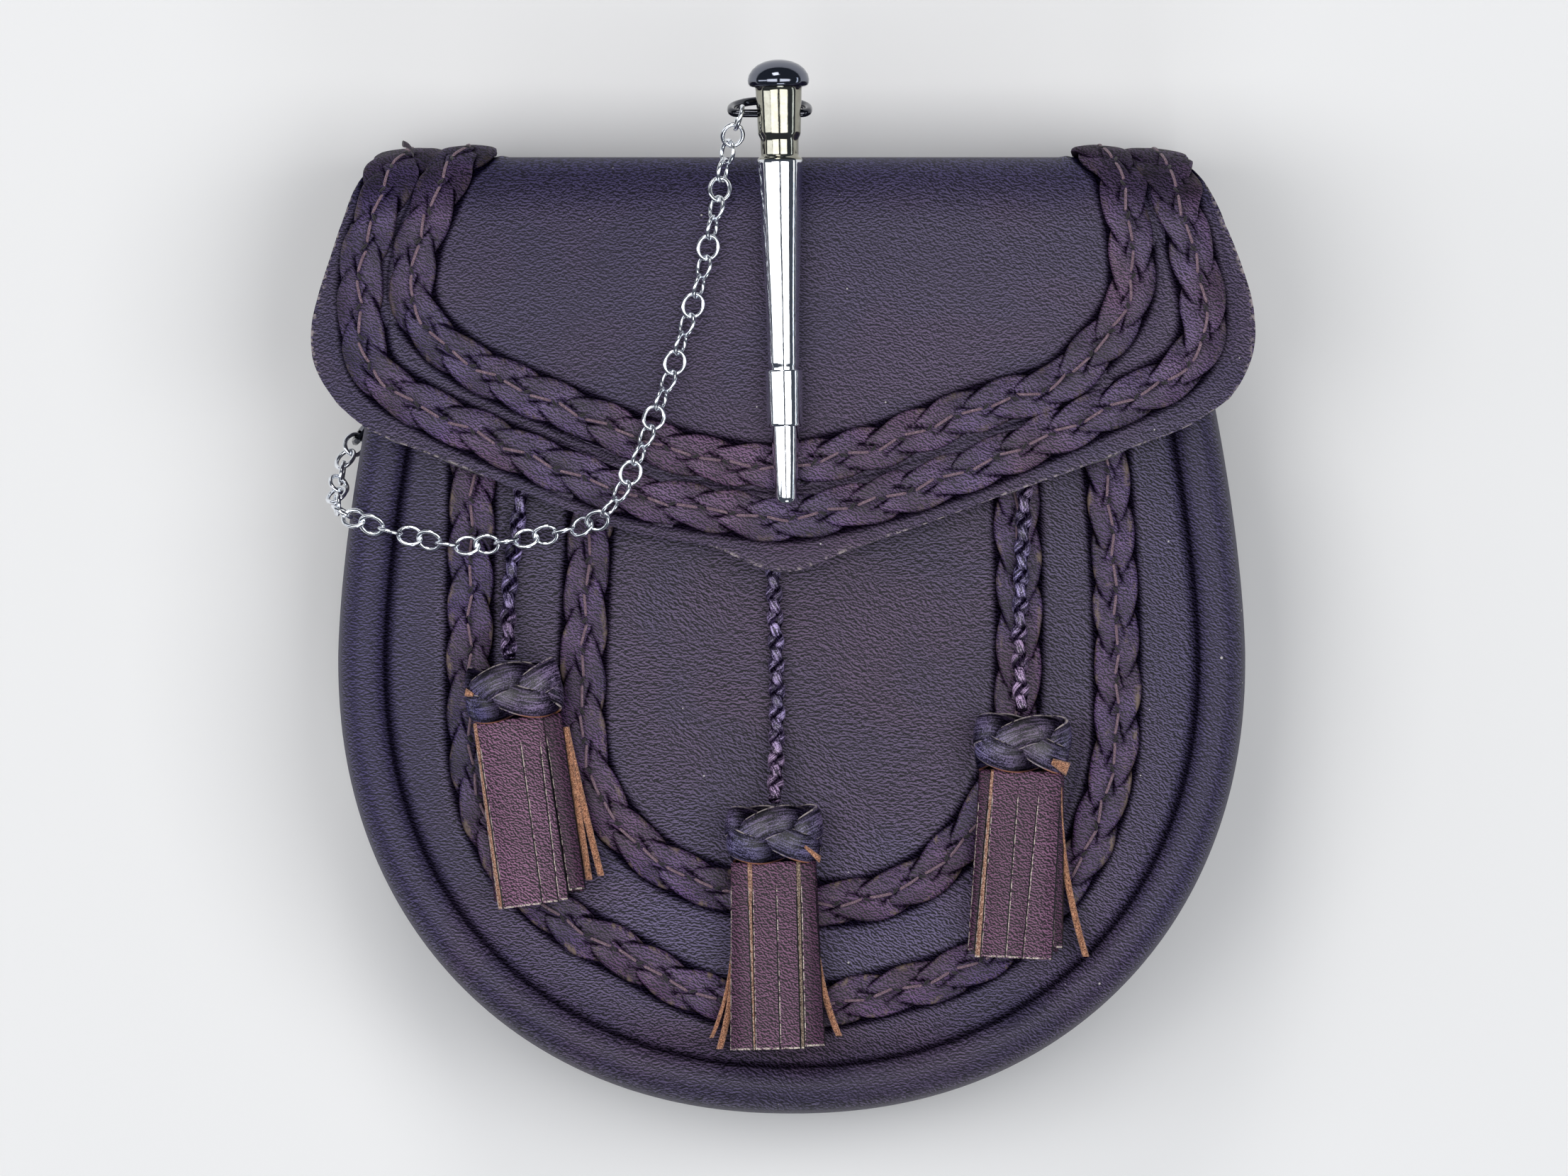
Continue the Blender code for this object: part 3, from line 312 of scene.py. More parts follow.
def spline_points(points, steps, closed=False):
    """A smooth curve through the points, with this many steps between each two."""
    count = len(points)
    found = []
    for span in range(count if closed else count - 1):
        picks = range(span - 1, span + 3)
        before, start, end, after = (points[i % count if closed else min(max(i, 0), count - 1)] for i in picks)
        for t in (step / steps for step in range(steps)):
            found.append(0.5 * (
                2 * start + (end - before) * t + (2 * before - 5 * start + 4 * end - after) * t**2
                + (3 * start - before - 3 * end + after) * t**3
            ))
    if not closed:
        found.append(points[-1])
    return np.array(found)


def evenly(points, count):
    """This many points spaced evenly along a run of points."""
    along = distances(points)
    wanted = np.linspace(0.0, along[-1], count)
    return np.stack([np.interp(wanted, along, column) for column in points.T], axis=1)


class Line:
    """A smooth line on a surface, read by the distance along it and the distance to its side.

    more is how much wider than usual a plait on it lies where it is pulled over the fold.
    """

    def __init__(self, points, more=0.0):
        self.more = more
        line = spline_points(np.array(points), 8)
        self.points = evenly(line, max(40, len(line) // 2))
        for _ in range(2):
            self.points[1:-1] = (self.points[:-2] + 2 * self.points[1:-1] + self.points[2:]) / 4
        self.along = distances(self.points)
        self.length = self.along[-1]
        ways = directions(self.points)
        self.sides = np.stack([ways[:, 1], -ways[:, 0]], axis=1)

    def place(self, along, side):
        along = clamp(along, self.length)
        return read_at(along, self.along, self.points) + read_at(along, self.along, self.sides) * side

    def wide(self, along):
        share = clamp((self.place(along, 0.0)[1] - 1 * MM) / (17 * MM))
        return 1 + self.more * share**2 * (3 - 2 * share)


# The leather's surfaces


def shoulder_half_width(y):
    rise = max(0.0, y - WIDEST_Y)
    return HALF_WIDTH - SHOULDER_TAPER * (rise / SHOULDER_RISE) ** SHOULDER_POWER


def body_stations(shoulder_steps, bowl_steps):
    """The body's outline from its top left corner round the bottom to its top right one: place and inward way."""
    left = []
    for y in np.linspace(BODY_TOP_Y, WIDEST_Y, shoulder_steps, endpoint=False):
        left.append((-shoulder_half_width(y), y, 1.0, 0.0))
    for angle in np.linspace(0.0, pi / 2, bowl_steps, endpoint=False):
        across, down = (abs(v) ** (2 / BOWL_POWER) for v in (cos(angle), sin(angle)))
        way = Vector((across ** (BOWL_POWER - 1) / HALF_WIDTH, down ** (BOWL_POWER - 1) / BOWL_DEPTH))
        way.normalize()
        left.append((-HALF_WIDTH * across, WIDEST_Y - BOWL_DEPTH * down, way.x, way.y))
    bottom = (0.0, WIDEST_Y - BOWL_DEPTH, 0.0, 1.0)
    right = [(-x, y, -way_x, way_y) for x, y, way_x, way_y in reversed(left)]
    stations = np.array([*left, bottom, *right])
    stations[:, 0] += BODY_X
    return stations


def dome(x, y):
    across = 1 - ((x - BODY_X) / HALF_WIDTH) ** 2
    along = 1 - ((y - WIDEST_Y) / BOWL_DEPTH) ** 2
    return DOME_RISE * max(0.0, across) * max(0.0, along)


def swell(x, y, size, height):
    """The leather's slow unevenness."""
    return height * noise.noise(Vector((x / size, y / size, 0.37)))


def front_point(x, y, height):
    return Vector((x, y, PANEL_Z + dome(x, y) + height))


def droop(x):
    reach = DROOP_END - DROOP_START
    share = max(0.0, abs(x) - DROOP_START) / reach
    return DROOP * share**2, copysign(2 * DROOP * share / reach, x)


def droop_share(up):
    return clamp(1.0 - (up - FOLD_RADIUS) / (FOLD_TOP + FOLD_RADIUS))


def fold_profile(up):
    """The flap's outer face as (y, z) and its way out, this far up the front from where the fold starts."""
    front_y = FOLD_Y - FOLD_RADIUS
    if up <= 0:
        return front_y + up, FLAP_Z, 0.0, 1.0
    if up <= FRONT_BEND:
        angle = up / FOLD_RADIUS
        out_y, out_z = sin(angle), cos(angle)
        return front_y + FOLD_RADIUS * out_y, FLAP_Z - FOLD_RADIUS + FOLD_RADIUS * out_z, out_y, out_z
    past = up - FRONT_BEND
    if past <= FOLD_TOP:
        return FOLD_Y, FLAP_Z - FOLD_RADIUS - past, 1.0, 0.0
    past -= FOLD_TOP
    centre_y, centre_z = FOLD_Y - BACK_RADIUS, BACK_LEG_Z + BACK_RADIUS
    angle = min(past / BACK_RADIUS, pi / 2)
    out_y, out_z = cos(angle), -sin(angle)
    rest = max(0.0, past - BACK_BEND)
    return centre_y + BACK_RADIUS * out_y - rest, centre_z + BACK_RADIUS * out_z, out_y, out_z


def flap_point(x, up, height):
    y, z, out_y, out_z = fold_profile(up)
    bent, slope = (value * droop_share(up) for value in droop(x))
    out = Vector((slope, out_y, out_z)).normalized()
    return Vector((x, y - out_y * bent, z - out_z * bent)) + out * height


def fold_distance(y):
    past = y - (FOLD_Y - FOLD_RADIUS)
    return past if past <= 0 else FOLD_RADIUS * asin(min(1.0, past / FOLD_RADIUS))


# Making meshes


def finish_piece(made, node=None):
    """Every piece rides on the pouch, and may stand for a node of the frame."""
    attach(made, BODY)
    if node:
        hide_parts(node)
    return made


def mesh_piece(name, points, faces, materials, smooth=True, attributes=None):
    """An object from points and faces, with its faces turned out. attributes holds one number for each point."""
    mesh = bpy.data.meshes.new(name)
    mesh.from_pydata([tuple(p) for p in points], [], faces)
    for key, values in (attributes or {}).items():
        mesh.attributes.new(name=key, type="FLOAT", domain="POINT").data.foreach_set("value", list(values))
    shape = bmesh.new()
    shape.from_mesh(mesh)
    bmesh.ops.recalc_face_normals(shape, faces=shape.faces)
    shape.to_mesh(mesh)
    shape.free()
    if smooth:
        mesh.shade_smooth()
    for material in materials:
        mesh.materials.append(material)
    made = bpy.data.objects.new(name, mesh)
    bpy.context.scene.collection.objects.link(made)
    return made


def grid_faces(rows, columns, start):
    corners = [start + row * columns + column for row in range(rows - 1) for column in range(columns - 1)]
    return [(i, i + 1, i + columns + 1, i + columns) for i in corners]


def tube_faces(rings, sides, closed, start):
    """The faces of a tube through rings of points."""
    faces = []
    for ring in range(rings if closed else rings - 1):
        low, high = start + ring * sides, start + (ring + 1) % rings * sides
        faces += [(low + i, low + (i + 1) % sides, high + (i + 1) % sides, high + i) for i in range(sides)]
    if not closed:
        last = start + (rings - 1) * sides
        faces += [tuple(reversed(range(start, start + sides))), tuple(range(last, last + sides))]
    return faces


class Parts:
    """Several tubes or grids gathered into one mesh, with named numbers at their points for the material."""

    def __init__(self, *marks):
        self.points = []
        self.faces = []
        self.marks = {name: [] for name in marks}

    def note(self, **marks):
        """The marks of the next point. A mark that isn't noted is nought."""
        for name, value in marks.items():
            self.marks[name].append(value)

    def add(self, points, faces):
        self.faces += faces
        self.points += points
        for values in self.marks.values():
            values += [0.0] * (len(self.points) - len(values))
        return self

    def tube(self, rings, closed=False):
        faces = tube_faces(len(rings), len(rings[0]), closed, len(self.points))
        return self.add([point for ring in rings for point in ring], faces)

    def grid(self, rows):
        faces = grid_faces(len(rows), len(rows[0]), len(self.points))
        return self.add([point for row in rows for point in row], faces)

    def close(self, tip, count):
        """A fan of faces from the last row, with this many steps, to one more point."""
        end = len(self.points)
        last = end - count - 1
        return self.add([tip], [(last + i, last + i + 1, end) for i in range(count)])

    def piece(self, name, *materials):
        return mesh_piece(name, self.points, self.faces, materials, attributes=self.marks)


def round_off(made, width, segments):
    """Softly rounded edges."""
    edges = made.modifiers.new("edges", "BEVEL")
    edges.width = width
    edges.segments = segments
    return edges


def give_thickness(made, way, thickness, rim=0, inner=0, bevel=0.3 * MM):
    """Turns an open sheet's faces to look this way, and gives it leather's thickness behind them."""
    total = sum((face.normal * face.area for face in made.data.polygons), Vector())
    if way and total.dot(Vector(way)) < 0:
        made.data.flip_normals()
    solid = made.modifiers.new("leather", "SOLIDIFY")
    solid.thickness = thickness
    solid.offset = -1.0
    solid.use_even_offset = True
    solid.material_offset_rim = rim
    solid.material_offset = inner
    if bevel:
        edges = round_off(made, bevel, 2)
        edges.limit_method = "ANGLE"
        edges.angle_limit = radians(50)
        edges.harden_normals = False


def turned_rings(profile, sides, matrix):
    """Rings round local Z for a profile of (distance from the top, radius)."""
    return [
        [matrix @ Vector((radius * across, radius * deep, -distance)) for across, deep in circle(sides)]
        for distance, radius in profile
    ]


# Materials

RIPPLE_HEIGHT = 0.1 * MM
RIPPLE_SHIFT = 0.24 * MM  # how far apart a ripple's light and shade are taken
STRIP_LAY = -0.45  # which way the ripples lie on laces and strips, in radians
GRAIN_DARK = (0.12, 0.10, 0.16)  # the ripples' painted shade and painted light, as shares of the leather's colour
GRAIN_LIGHT = (4.0, 4.4, 3.4)
PAINTED_SHADE_ROUGHNESS = 0.85
DUST = (0.60, 0.57, 0.56)


def rgba(colour):
    return (colour, colour, colour, 1.0) if isinstance(colour, (int, float)) else (*colour, 1.0)


class Shader:
    """A Principled material and short calls to add nodes to it. A call's inputs are sockets, numbers or colours."""

    def __init__(self, name):
        self.material = bpy.data.materials.new(name)
        self.material.use_nodes = True
        self.tree = self.material.node_tree
        self.principled = self.tree.nodes["Principled BSDF"]

    def feed(self, socket, value):
        if isinstance(value, bpy.types.NodeSocket):
            self.tree.links.new(value, socket)
        else:
            socket.default_value = rgba(value) if socket.type == "RGBA" else value

    def node(self, kind, inputs=None, **settings):
        made = self.tree.nodes.new("ShaderNode" + kind)
        for key, value in settings.items():
            setattr(made, key, value)
        for key, value in (inputs or {}).items():
            self.feed(made.inputs[key], value)
        return made

    def set(self, **sockets):
        for key, value in sockets.items():
            self.feed(self.principled.inputs[key.replace("_", " ").title().replace("Ior", "IOR")], value)

    def coordinates(self, scale=(1.0, 1.0, 1.0), turn=0.0, shift=0.0, rise=0.0):
        """Places on the object in millimetres, turned, moved to the side and up in metres and stretched by scale."""
        place = self.node("TexCoord")
        inputs = {
            "Vector": place.outputs["Object"],
            "Location": (-shift * sin(turn), shift * cos(turn), rise),
            "Scale": [0.001 / s for s in scale],
            "Rotation": (0, 0, turn),
        }
        return self.node("Mapping", inputs, vector_type="TEXTURE").outputs["Vector"]

    def part(self, vector, axis):
        """One of a vector's three parts."""
        return self.node("SeparateXYZ", {"Vector": vector}).outputs[axis]

    def noise(self, vector, scale=1.0, detail=3.0, roughness=0.55, distortion=0.0):
        inputs = {"Vector": vector, "Scale": scale, "Detail": detail, "Roughness": roughness, "Distortion": distortion}
        return self.node("TexNoise", inputs).outputs["Fac"]

    def ripples(self, stretch, turn, steep=0.0):
        """Short waves as height, and as the painted light on their upper sides and the painted shade on their lower
        ones.

        steep, from 0 to 1, makes them fit an upright wall.
        """
        height, above = (
            self.noise(self.coordinates((*stretch, 1.0 + 1.5 * steep), turn, shift, shift * steep), 1.0, 1.0, 0.5, 0.1)
            for shift in (0.0, RIPPLE_SHIFT)
        )
        return height, self.math("SUBTRACT", height, above)

    def cells(self, vector, scale, output):
        return self.node("TexVoronoi", {"Vector": vector, "Scale": scale}).outputs[output]

    def ramp(self, value, stops, smooth=False):
        made = self.node("ValToRGB", {"Fac": value})
        made.color_ramp.interpolation = "EASE" if smooth else "LINEAR"
        elements = made.color_ramp.elements
        while len(elements) < len(stops):
            elements.new(0.5)
        for element, (place, colour) in zip(elements, stops, strict=True):
            element.position = place
            element.color = rgba(colour)
        return made.outputs["Color"]

    def math(self, operation, first, second, clamp=False):
        return self.node("Math", {0: first, 1: second}, operation=operation, use_clamp=clamp).outputs["Value"]

    def product(self, first, second, clamp=False):
        return self.math("MULTIPLY", first, second, clamp)

    def mix(self, share, first, second, blend="MIX"):
        made = self.node("Mix", data_type="RGBA", blend_type=blend)
        sockets = {s.identifier: s for s in made.inputs}
        for key, value in (("Factor_Float", share), ("A_Color", first), ("B_Color", second)):
            self.feed(sockets[key], value)
        return {s.identifier: s for s in made.outputs}["Result_Color"]

    def times(self, first, second):
        """One colour multiplied by another."""
        return self.mix(1.0, first, second, "MULTIPLY")

    def bump(self, height, distance):
        return self.node("Bump", {"Height": height, "Distance": distance, "Strength": 1.0}).outputs["Normal"]

    def attribute(self, name):
        return self.node("Attribute", attribute_name=name).outputs["Fac"]

    def shine(self, crease, level):
        """How much the surface reflects, which is nothing where the painted shade is full."""
        self.set(specular_ior_level=self.product(self.math("SUBTRACT", 1.0, crease), level))

    def lace_place(self, along, across):
        """Places on a lace by its own length and width, in millimetres stretched by along and across."""
        joined = self.node("CombineXYZ")
        for axis, mark, stretch in (("X", "run", along), ("Y", "width", across)):
            self.feed(joined.inputs[axis], self.product(self.attribute(mark), 1000 * stretch))
        return joined.outputs["Vector"]

    def finish(self, colour, roughness, normal):
        self.set(base_color=colour, roughness=roughness, normal=normal)
        return self.material


def grained_leather(name, colour, ripple, lays=(-0.05, -0.5), contrast=1.0, dust=True, edge=None, steep=0.0):
    """Rippled leather: short fine waves that lie one way at the left and another at the right, and a drift of colour.

    Marks on the mesh paint shade into its creases, make its colour paler, warmer or (below zero) cooler and darker,
    which over the flap's fold is painted shade, smooth it and show its raw edge. The ripples are painted with light on
    their upper sides and shade on their lower ones.
    """
    s = Shader(name)
    flat = s.coordinates()
    right = s.product(s.part(flat, "X"), 0.003)
    where = s.ramp(s.math("ADD", s.noise(flat, 0.035, 1.0, 0.5, 0.3), right), [(0.44, 0.0), (0.56, 1.0)])
    (first, first_light), (second, second_light) = (s.ripples(ripple, lay, steep) for lay in lays)
    height = s.mix(where, first, second)
    light_side = s.mix(where, s.math("ADD", first_light, 0.5), s.math("ADD", second_light, 0.5))
    fine = s.noise(flat, 4.5, 1.0, 0.6)
    patch = s.noise(flat, 0.05, 1.0, 0.5, 0.4)
    # Mostly the ripples' painted light and shade, with a little fine random texture.
    grain_and_painted_light = s.math("ADD", s.product(light_side, 0.8), s.product(fine, 0.2))
    grain_and_painted_light = s.mix(s.attribute("plain"), grain_and_painted_light, 0.49)
    dark, light = (
        tuple(c * (1.0 + (k - 1.0) * contrast) for c, k in zip(colour, share, strict=True))
        for share in (GRAIN_DARK, GRAIN_LIGHT)
    )
    shade = s.ramp(grain_and_painted_light, [(0.42, dark), (0.49, tuple(c * 0.92 for c in colour)), (0.575, light)])
    warm = s.attribute("warm")
    drift = s.product(s.ramp(patch, [(0.4, 0.0), (0.6, 1.0)], smooth=True), 0.25)
    shade = s.mix(s.math("ADD", warm, drift, clamp=True), shade, s.times(shade, WARM))
    shade = s.mix(s.product(warm, -1.0, clamp=True), shade, s.times(shade, COOL_AND_SHADE))
    shade = s.times(shade, s.ramp(patch, [(0.3, 0.95), (0.7, 1.05)]))
    shade = s.times(shade, s.ramp(s.attribute("pale"), [(0.0, 1.0), (1.0, 1.5)]))
    if dust:
        specks, pick = (s.cells(flat, 0.21, output) for output in ("Distance", "Color"))
        dot = s.math("LESS_THAN", specks, s.ramp(pick, [(0.55, 0.0), (1.0, 0.07)]))
        shade = s.mix(s.product(dot, 0.85), shade, DUST)
    if edge is not None:
        worn = s.product(s.attribute("edge"), s.ramp(s.noise(flat, 0.8, 3.0, 0.7), [(0.50, 0.0), (0.60, 1.0)]))
        shade = s.mix(worn, shade, edge)
    # Painted shade where the mesh marks it: darker, rougher and without reflection.
    crease = s.attribute("crease")
    shade = s.mix(crease, shade, s.times(shade, (0.09, 0.08, 0.11)))
    gloss = s.ramp(grain_and_painted_light, [(0.34, 0.66), (0.62, 0.45)])
    gloss = s.mix(crease, gloss, PAINTED_SHADE_ROUGHNESS)
    s.shine(crease, 0.42)
    return s.finish(shade, gloss, s.bump(height, RIPPLE_HEIGHT))


def lace_leather(name, colour, light, relief, gloss, span, cut=None, streaks=(0.35, 2.6), worn=0.0, grain_and_painted_light=0.0):
    """Smooth lace with fine streaks along it, lighter where it is rubbed, with painted shade under another lace and
    bluer at the left.

    The smaller span is, the harder the change from dark to light. cut is the colour of its pale cut sides and of those
    low down. grain_and_painted_light is how much of the leather's ripples, with the light and shade painted on them,
    it has.
    """
    s = Shader(name)
    flat = s.coordinates()
    streak = s.noise(s.lace_place(*streaks), 1.0, 3.0, 0.6, 0.8)
    fine = s.noise(flat, 3.6, 1.5, 0.55)
    height = value = s.math("ADD", s.product(streak, 0.62), s.product(fine, 0.38))
    if grain_and_painted_light:
        height, light_side = s.ripples((1.7, 3.2), STRIP_LAY)
        value = s.math("ADD", s.product(value, 1 - grain_and_painted_light), s.product(light_side, grain_and_painted_light))
        value = s.math("ADD", value, 0.5 * grain_and_painted_light)
    patch = s.noise(s.lace_place(0.09, 0.10), 1.0, 2.0, 0.5)
    dark = tuple(c * 0.5 for c in colour)
    shade = s.ramp(value, [(0.48 - span, dark), (0.48, colour), (0.48 + span, light)])
    shade = s.times(shade, s.ramp(patch, [(0.32, 0.5), (0.68, 1.5)]))
    hue = s.ramp(s.noise(flat, 0.035, 2.0, 0.5), [(0.4, (0.86, 0.92, 1.06)), (0.6, (1.14, 0.98, 0.98))])
    shade = s.times(shade, hue)
    across = s.math("ADD", s.product(s.part(flat, "X"), 0.01), 1.0)
    shade = s.times(shade, s.ramp(across, [(0.2, (0.74, 0.78, 0.96)), (0.6, (1.0, 1.0, 1.0))]))
    if worn:
        rubbed = s.ramp(s.noise(s.coordinates((0.5, 0.2, 0.5)), 1.0, 4.0, 0.7), [(0.50, 0.0), (0.62, worn)])
        few = s.ramp(s.noise(flat, 0.55, 4.0, 0.7), [(0.60, 0.0), (0.72, 0.5 * worn)])
        bare = s.math("MAXIMUM", few, s.product(rubbed, s.attribute("rub")))
        shade = s.mix(bare, shade, (0.20, 0.145, 0.11))
    if cut is not None:
        broken = s.ramp(s.noise(flat, 1.0, 3.0, 0.7), [(0.40, 0.0), (0.52, 1.0)])
        whole = s.mix(s.attribute("tan"), broken, 1.0)
        side = s.mix(s.attribute("tan"), *cut)
        shade = s.mix(s.product(s.attribute("edge"), whole), shade, side)
    # Painted shade where the mesh marks it: darker, rougher and without reflection.
    crease = s.attribute("crease")
    shade = s.mix(crease, shade, s.times(shade, (0.07, 0.06, 0.09)))
    rough = s.mix(crease, s.ramp(value, [(0.3, gloss[0]), (0.7, gloss[1])]), PAINTED_SHADE_ROUGHNESS)
    s.shine(crease, 0.45)
    return s.finish(shade, rough, s.bump(height, relief * MM))


def strip_leather():
    """A tassel's strips: mauve to dark burgundy by the tone mark, tan by the edge mark and pale at thin cuts, with
    painted light and shade on their ripples and painted shade in the slits.
    """
    s = Shader("skirt_leather")
    flat = s.coordinates()
    height, light_side = s.ripples((1.9, 3.0), STRIP_LAY)
    # The ripples' painted light and shade.
    grain_and_painted_light = s.math("ADD", light_side, 0.5)
    patch = s.noise(flat, 0.12, 1.0, 0.5)
    base = s.mix(s.attribute("tone"), (0.076, 0.034, 0.063), (0.028, 0.0092, 0.0235))
    shade = s.times(base, s.ramp(grain_and_painted_light, [(0.41, 0.15), (0.5, 0.82), (0.59, 3.6)]))
    shade = s.times(shade, s.ramp(patch, [(0.3, 0.88), (0.7, 1.12)]))
    fibre = s.noise(flat, 3.6, 4.0, 0.75, 0.6)
    tan = s.ramp(fibre, [(0.38, (0.05, 0.018, 0.012)), (0.5, (0.34, 0.15, 0.09)), (0.62, (0.80, 0.52, 0.40))])
    olive = s.ramp(fibre, [(0.38, (0.04, 0.028, 0.022)), (0.5, (0.13, 0.095, 0.065)), (0.62, (0.44, 0.34, 0.25))])
    shade = s.mix(s.attribute("edge"), shade, s.mix(s.attribute("tone"), tan, olive))
    pale = s.ramp(fibre, [(0.36, (0.16, 0.11, 0.10)), (0.52, (0.78, 0.68, 0.60))])
    broken = s.ramp(s.noise(flat, 0.9, 3.0, 0.75), [(0.44, 0.0), (0.56, 1.0)])
    shade = s.mix(s.product(s.attribute("cut"), broken), shade, pale)
    # Painted shade in the slits between strips.
    shade = s.mix(s.attribute("crease"), shade, (0.006, 0.004, 0.007))
    s.set(specular_ior_level=0.4)
    return s.finish(shade, s.ramp(grain_and_painted_light, [(0.3, 0.6), (0.7, 0.46)]), s.bump(height, RIPPLE_HEIGHT))


def suede(name, colour, light):
    """Raw cut leather: short pale fibres on tan."""
    s = Shader(name)
    flat = s.coordinates()
    fibre = s.noise(flat, 4.0, 4.0, 0.7, 0.8)
    patch = s.noise(flat, 0.7, 2.0, 0.5)
    shade = s.ramp(fibre, [(0.40, tuple(c * 0.2 for c in colour)), (0.5, colour), (0.61, light)])
    shade = s.times(shade, s.ramp(patch, [(0.3, 0.7), (0.7, 1.2)]))
    s.set(sheen_weight=0.3, sheen_roughness=0.6, specular_ior_level=0.2)
    return s.finish(shade, 0.9, s.bump(fibre, 0.25 * MM))


def thread(name, colour, light):
    s = Shader(name)
    fuzz = s.noise(s.coordinates(), 5.0, 3.0, 0.7, 0.5)
    s.set(sheen_weight=0.25, specular_ior_level=0.25)
    shade = s.ramp(fuzz, [(0.35, tuple(c * 0.5 for c in colour)), (0.5, colour), (0.68, light)])
    return s.finish(shade, 0.85, s.bump(fuzz, 0.12 * MM))


def chrome(name, tint, roughness, head=None):
    """Polished plating with faint scratches and a little dulling.

    head gives where along Y the peg's head starts, which is darker and yellower, and its dome, which is darker still.
    """
    s = Shader(name)
    flat = s.coordinates()
    scratches = s.noise(s.coordinates((6.0, 0.5, 2.0)), 1.0, 3.0, 0.6)
    shade = s.ramp(s.noise(flat, 0.5, 3.0, 0.6), [(0.3, tuple(c * 0.9 for c in tint)), (0.7, tint)])
    if head is not None:
        y = s.part(flat, "Y")
        blotch = s.ramp(s.noise(flat, 0.45, 3.0, 0.65), [(0.35, (0.29, 0.28, 0.23)), (0.65, (0.36, 0.355, 0.30))])
        for start, colour in zip(head, (blotch, (0.17, 0.18, 0.22)), strict=True):
            shade = s.mix(s.math("GREATER_THAN", y, start / MM), shade, colour)
    s.set(metallic=1.0)
    rough = s.ramp(scratches, [(0.35, roughness), (0.8, roughness + 0.042)])
    return s.finish(shade, rough, s.bump(scratches, 0.006 * MM))


WARM = (1.30, 0.93, 0.86)
# Bluer and darker: a cool tint, and over the flap's fold painted shade.
COOL_AND_SHADE = (0.58, 0.62, 1.10)
LEATHER_FRONT = grained_leather("front_leather", (0.0240, 0.0174, 0.0472), (1.3, 2.9), contrast=1.1)
LEATHER_FLAP = grained_leather("flap_leather", (0.0276, 0.0199, 0.0535), (1.6, 2.9), (0.0, -0.3), contrast=0.85,
                               edge=(0.42, 0.36, 0.36))
LEATHER_BACK = grained_leather("back_leather", (0.036, 0.029, 0.048), (1.6, 1.8), contrast=0.4, dust=False, steep=1.0)
LEATHER_PLAIT_FLAP = lace_leather("flap_plait_leather", (0.0168, 0.0086, 0.0262), (0.128, 0.074, 0.160), 0.12,
                                  (0.52, 0.38), 0.055, worn=0.35, grain_and_painted_light=0.72)
LEATHER_PLAIT = lace_leather("front_plait_leather", (0.0112, 0.0052, 0.0205), (0.106, 0.058, 0.146), 0.12,
                             (0.52, 0.38), 0.055, worn=0.9, grain_and_painted_light=0.72)
LEATHER_CORD = lace_leather("cord_leather", (0.027, 0.0175, 0.050), (0.50, 0.41, 0.66), 0.05, (0.34, 0.22), 0.1)
LEATHER_KNOT = lace_leather("knot_leather", (0.0096, 0.0074, 0.0215), (0.195, 0.162, 0.285), 0.09, (0.30, 0.18), 0.09,
                            cut=((0.62, 0.54, 0.52), (0.60, 0.25, 0.12)), streaks=(0.22, 3.2))
LEATHER_SKIRT = strip_leather()
SUEDE = suede("suede_edge", (0.46, 0.175, 0.085), (0.95, 0.52, 0.32))
# Dark cut edges; on the tassels' strips this dark paints the shade in the gaps between them.
SUEDE_DARK_AND_GAP_SHADE = suede("dark_suede_and_gap_shade", (0.085, 0.066, 0.085), (0.26, 0.22, 0.24))
THREAD = thread("stitch_thread", (0.19, 0.115, 0.155), (0.50, 0.36, 0.42))
THREAD_DARK = thread("seam_thread", (0.05, 0.04, 0.055), (0.12, 0.10, 0.12))
# Near-black lumps that paint the shade in the needle hole between stitches.
NEEDLE_HOLE_SHADE = suede("needle_hole_shades", (0.010, 0.007, 0.011), (0.022, 0.016, 0.024))
CHROME = chrome("pin_chrome", (0.80, 0.82, 0.86), 0.045, head=(87.3 * MM, 102.2 * MM))
CHROME_RING = chrome("ring_chrome", (0.075, 0.077, 0.09), 0.07)
CHROME_CHAIN = chrome("chain_chrome", (0.90, 0.93, 0.98), 0.17)


# Leather pieces


def warmth(x, y):
    """The front's middle and its lowest part are redder, and its two sides bluer."""
    middle = 0.45 * exp(-(((x - 10 * MM) / (45 * MM)) ** 2) - ((y + 15 * MM) / (32 * MM)) ** 2)
    foot = 0.8 * exp(-((x / (28 * MM)) ** 2) - ((y + 93 * MM) / (6 * MM)) ** 2)
    left, right = (clamp((reach - 66 * MM) / (20 * MM)) for reach in (-x, x))
    return middle + foot - 0.5 * left - 0.3 * right


def paleness(x, y):
    """The front is paler between the plaits low down."""
    return 0.95 * exp(-((x / (64 * MM)) ** 2) - ((y + 68 * MM) / (18 * MM)) ** 2)


def plainness(x, inset=inf):
    """The ripples and their painted light and shade are fainter on the rim and at the front's left."""
    rim = clamp((11 * MM - inset) / (3 * MM))
    left = clamp((-x - 50 * MM) / (18 * MM))
    return 0.5 * max(rim, left)


def uneven(x, y):
    return swell(x, y, 16 * MM, 0.16 * MM)


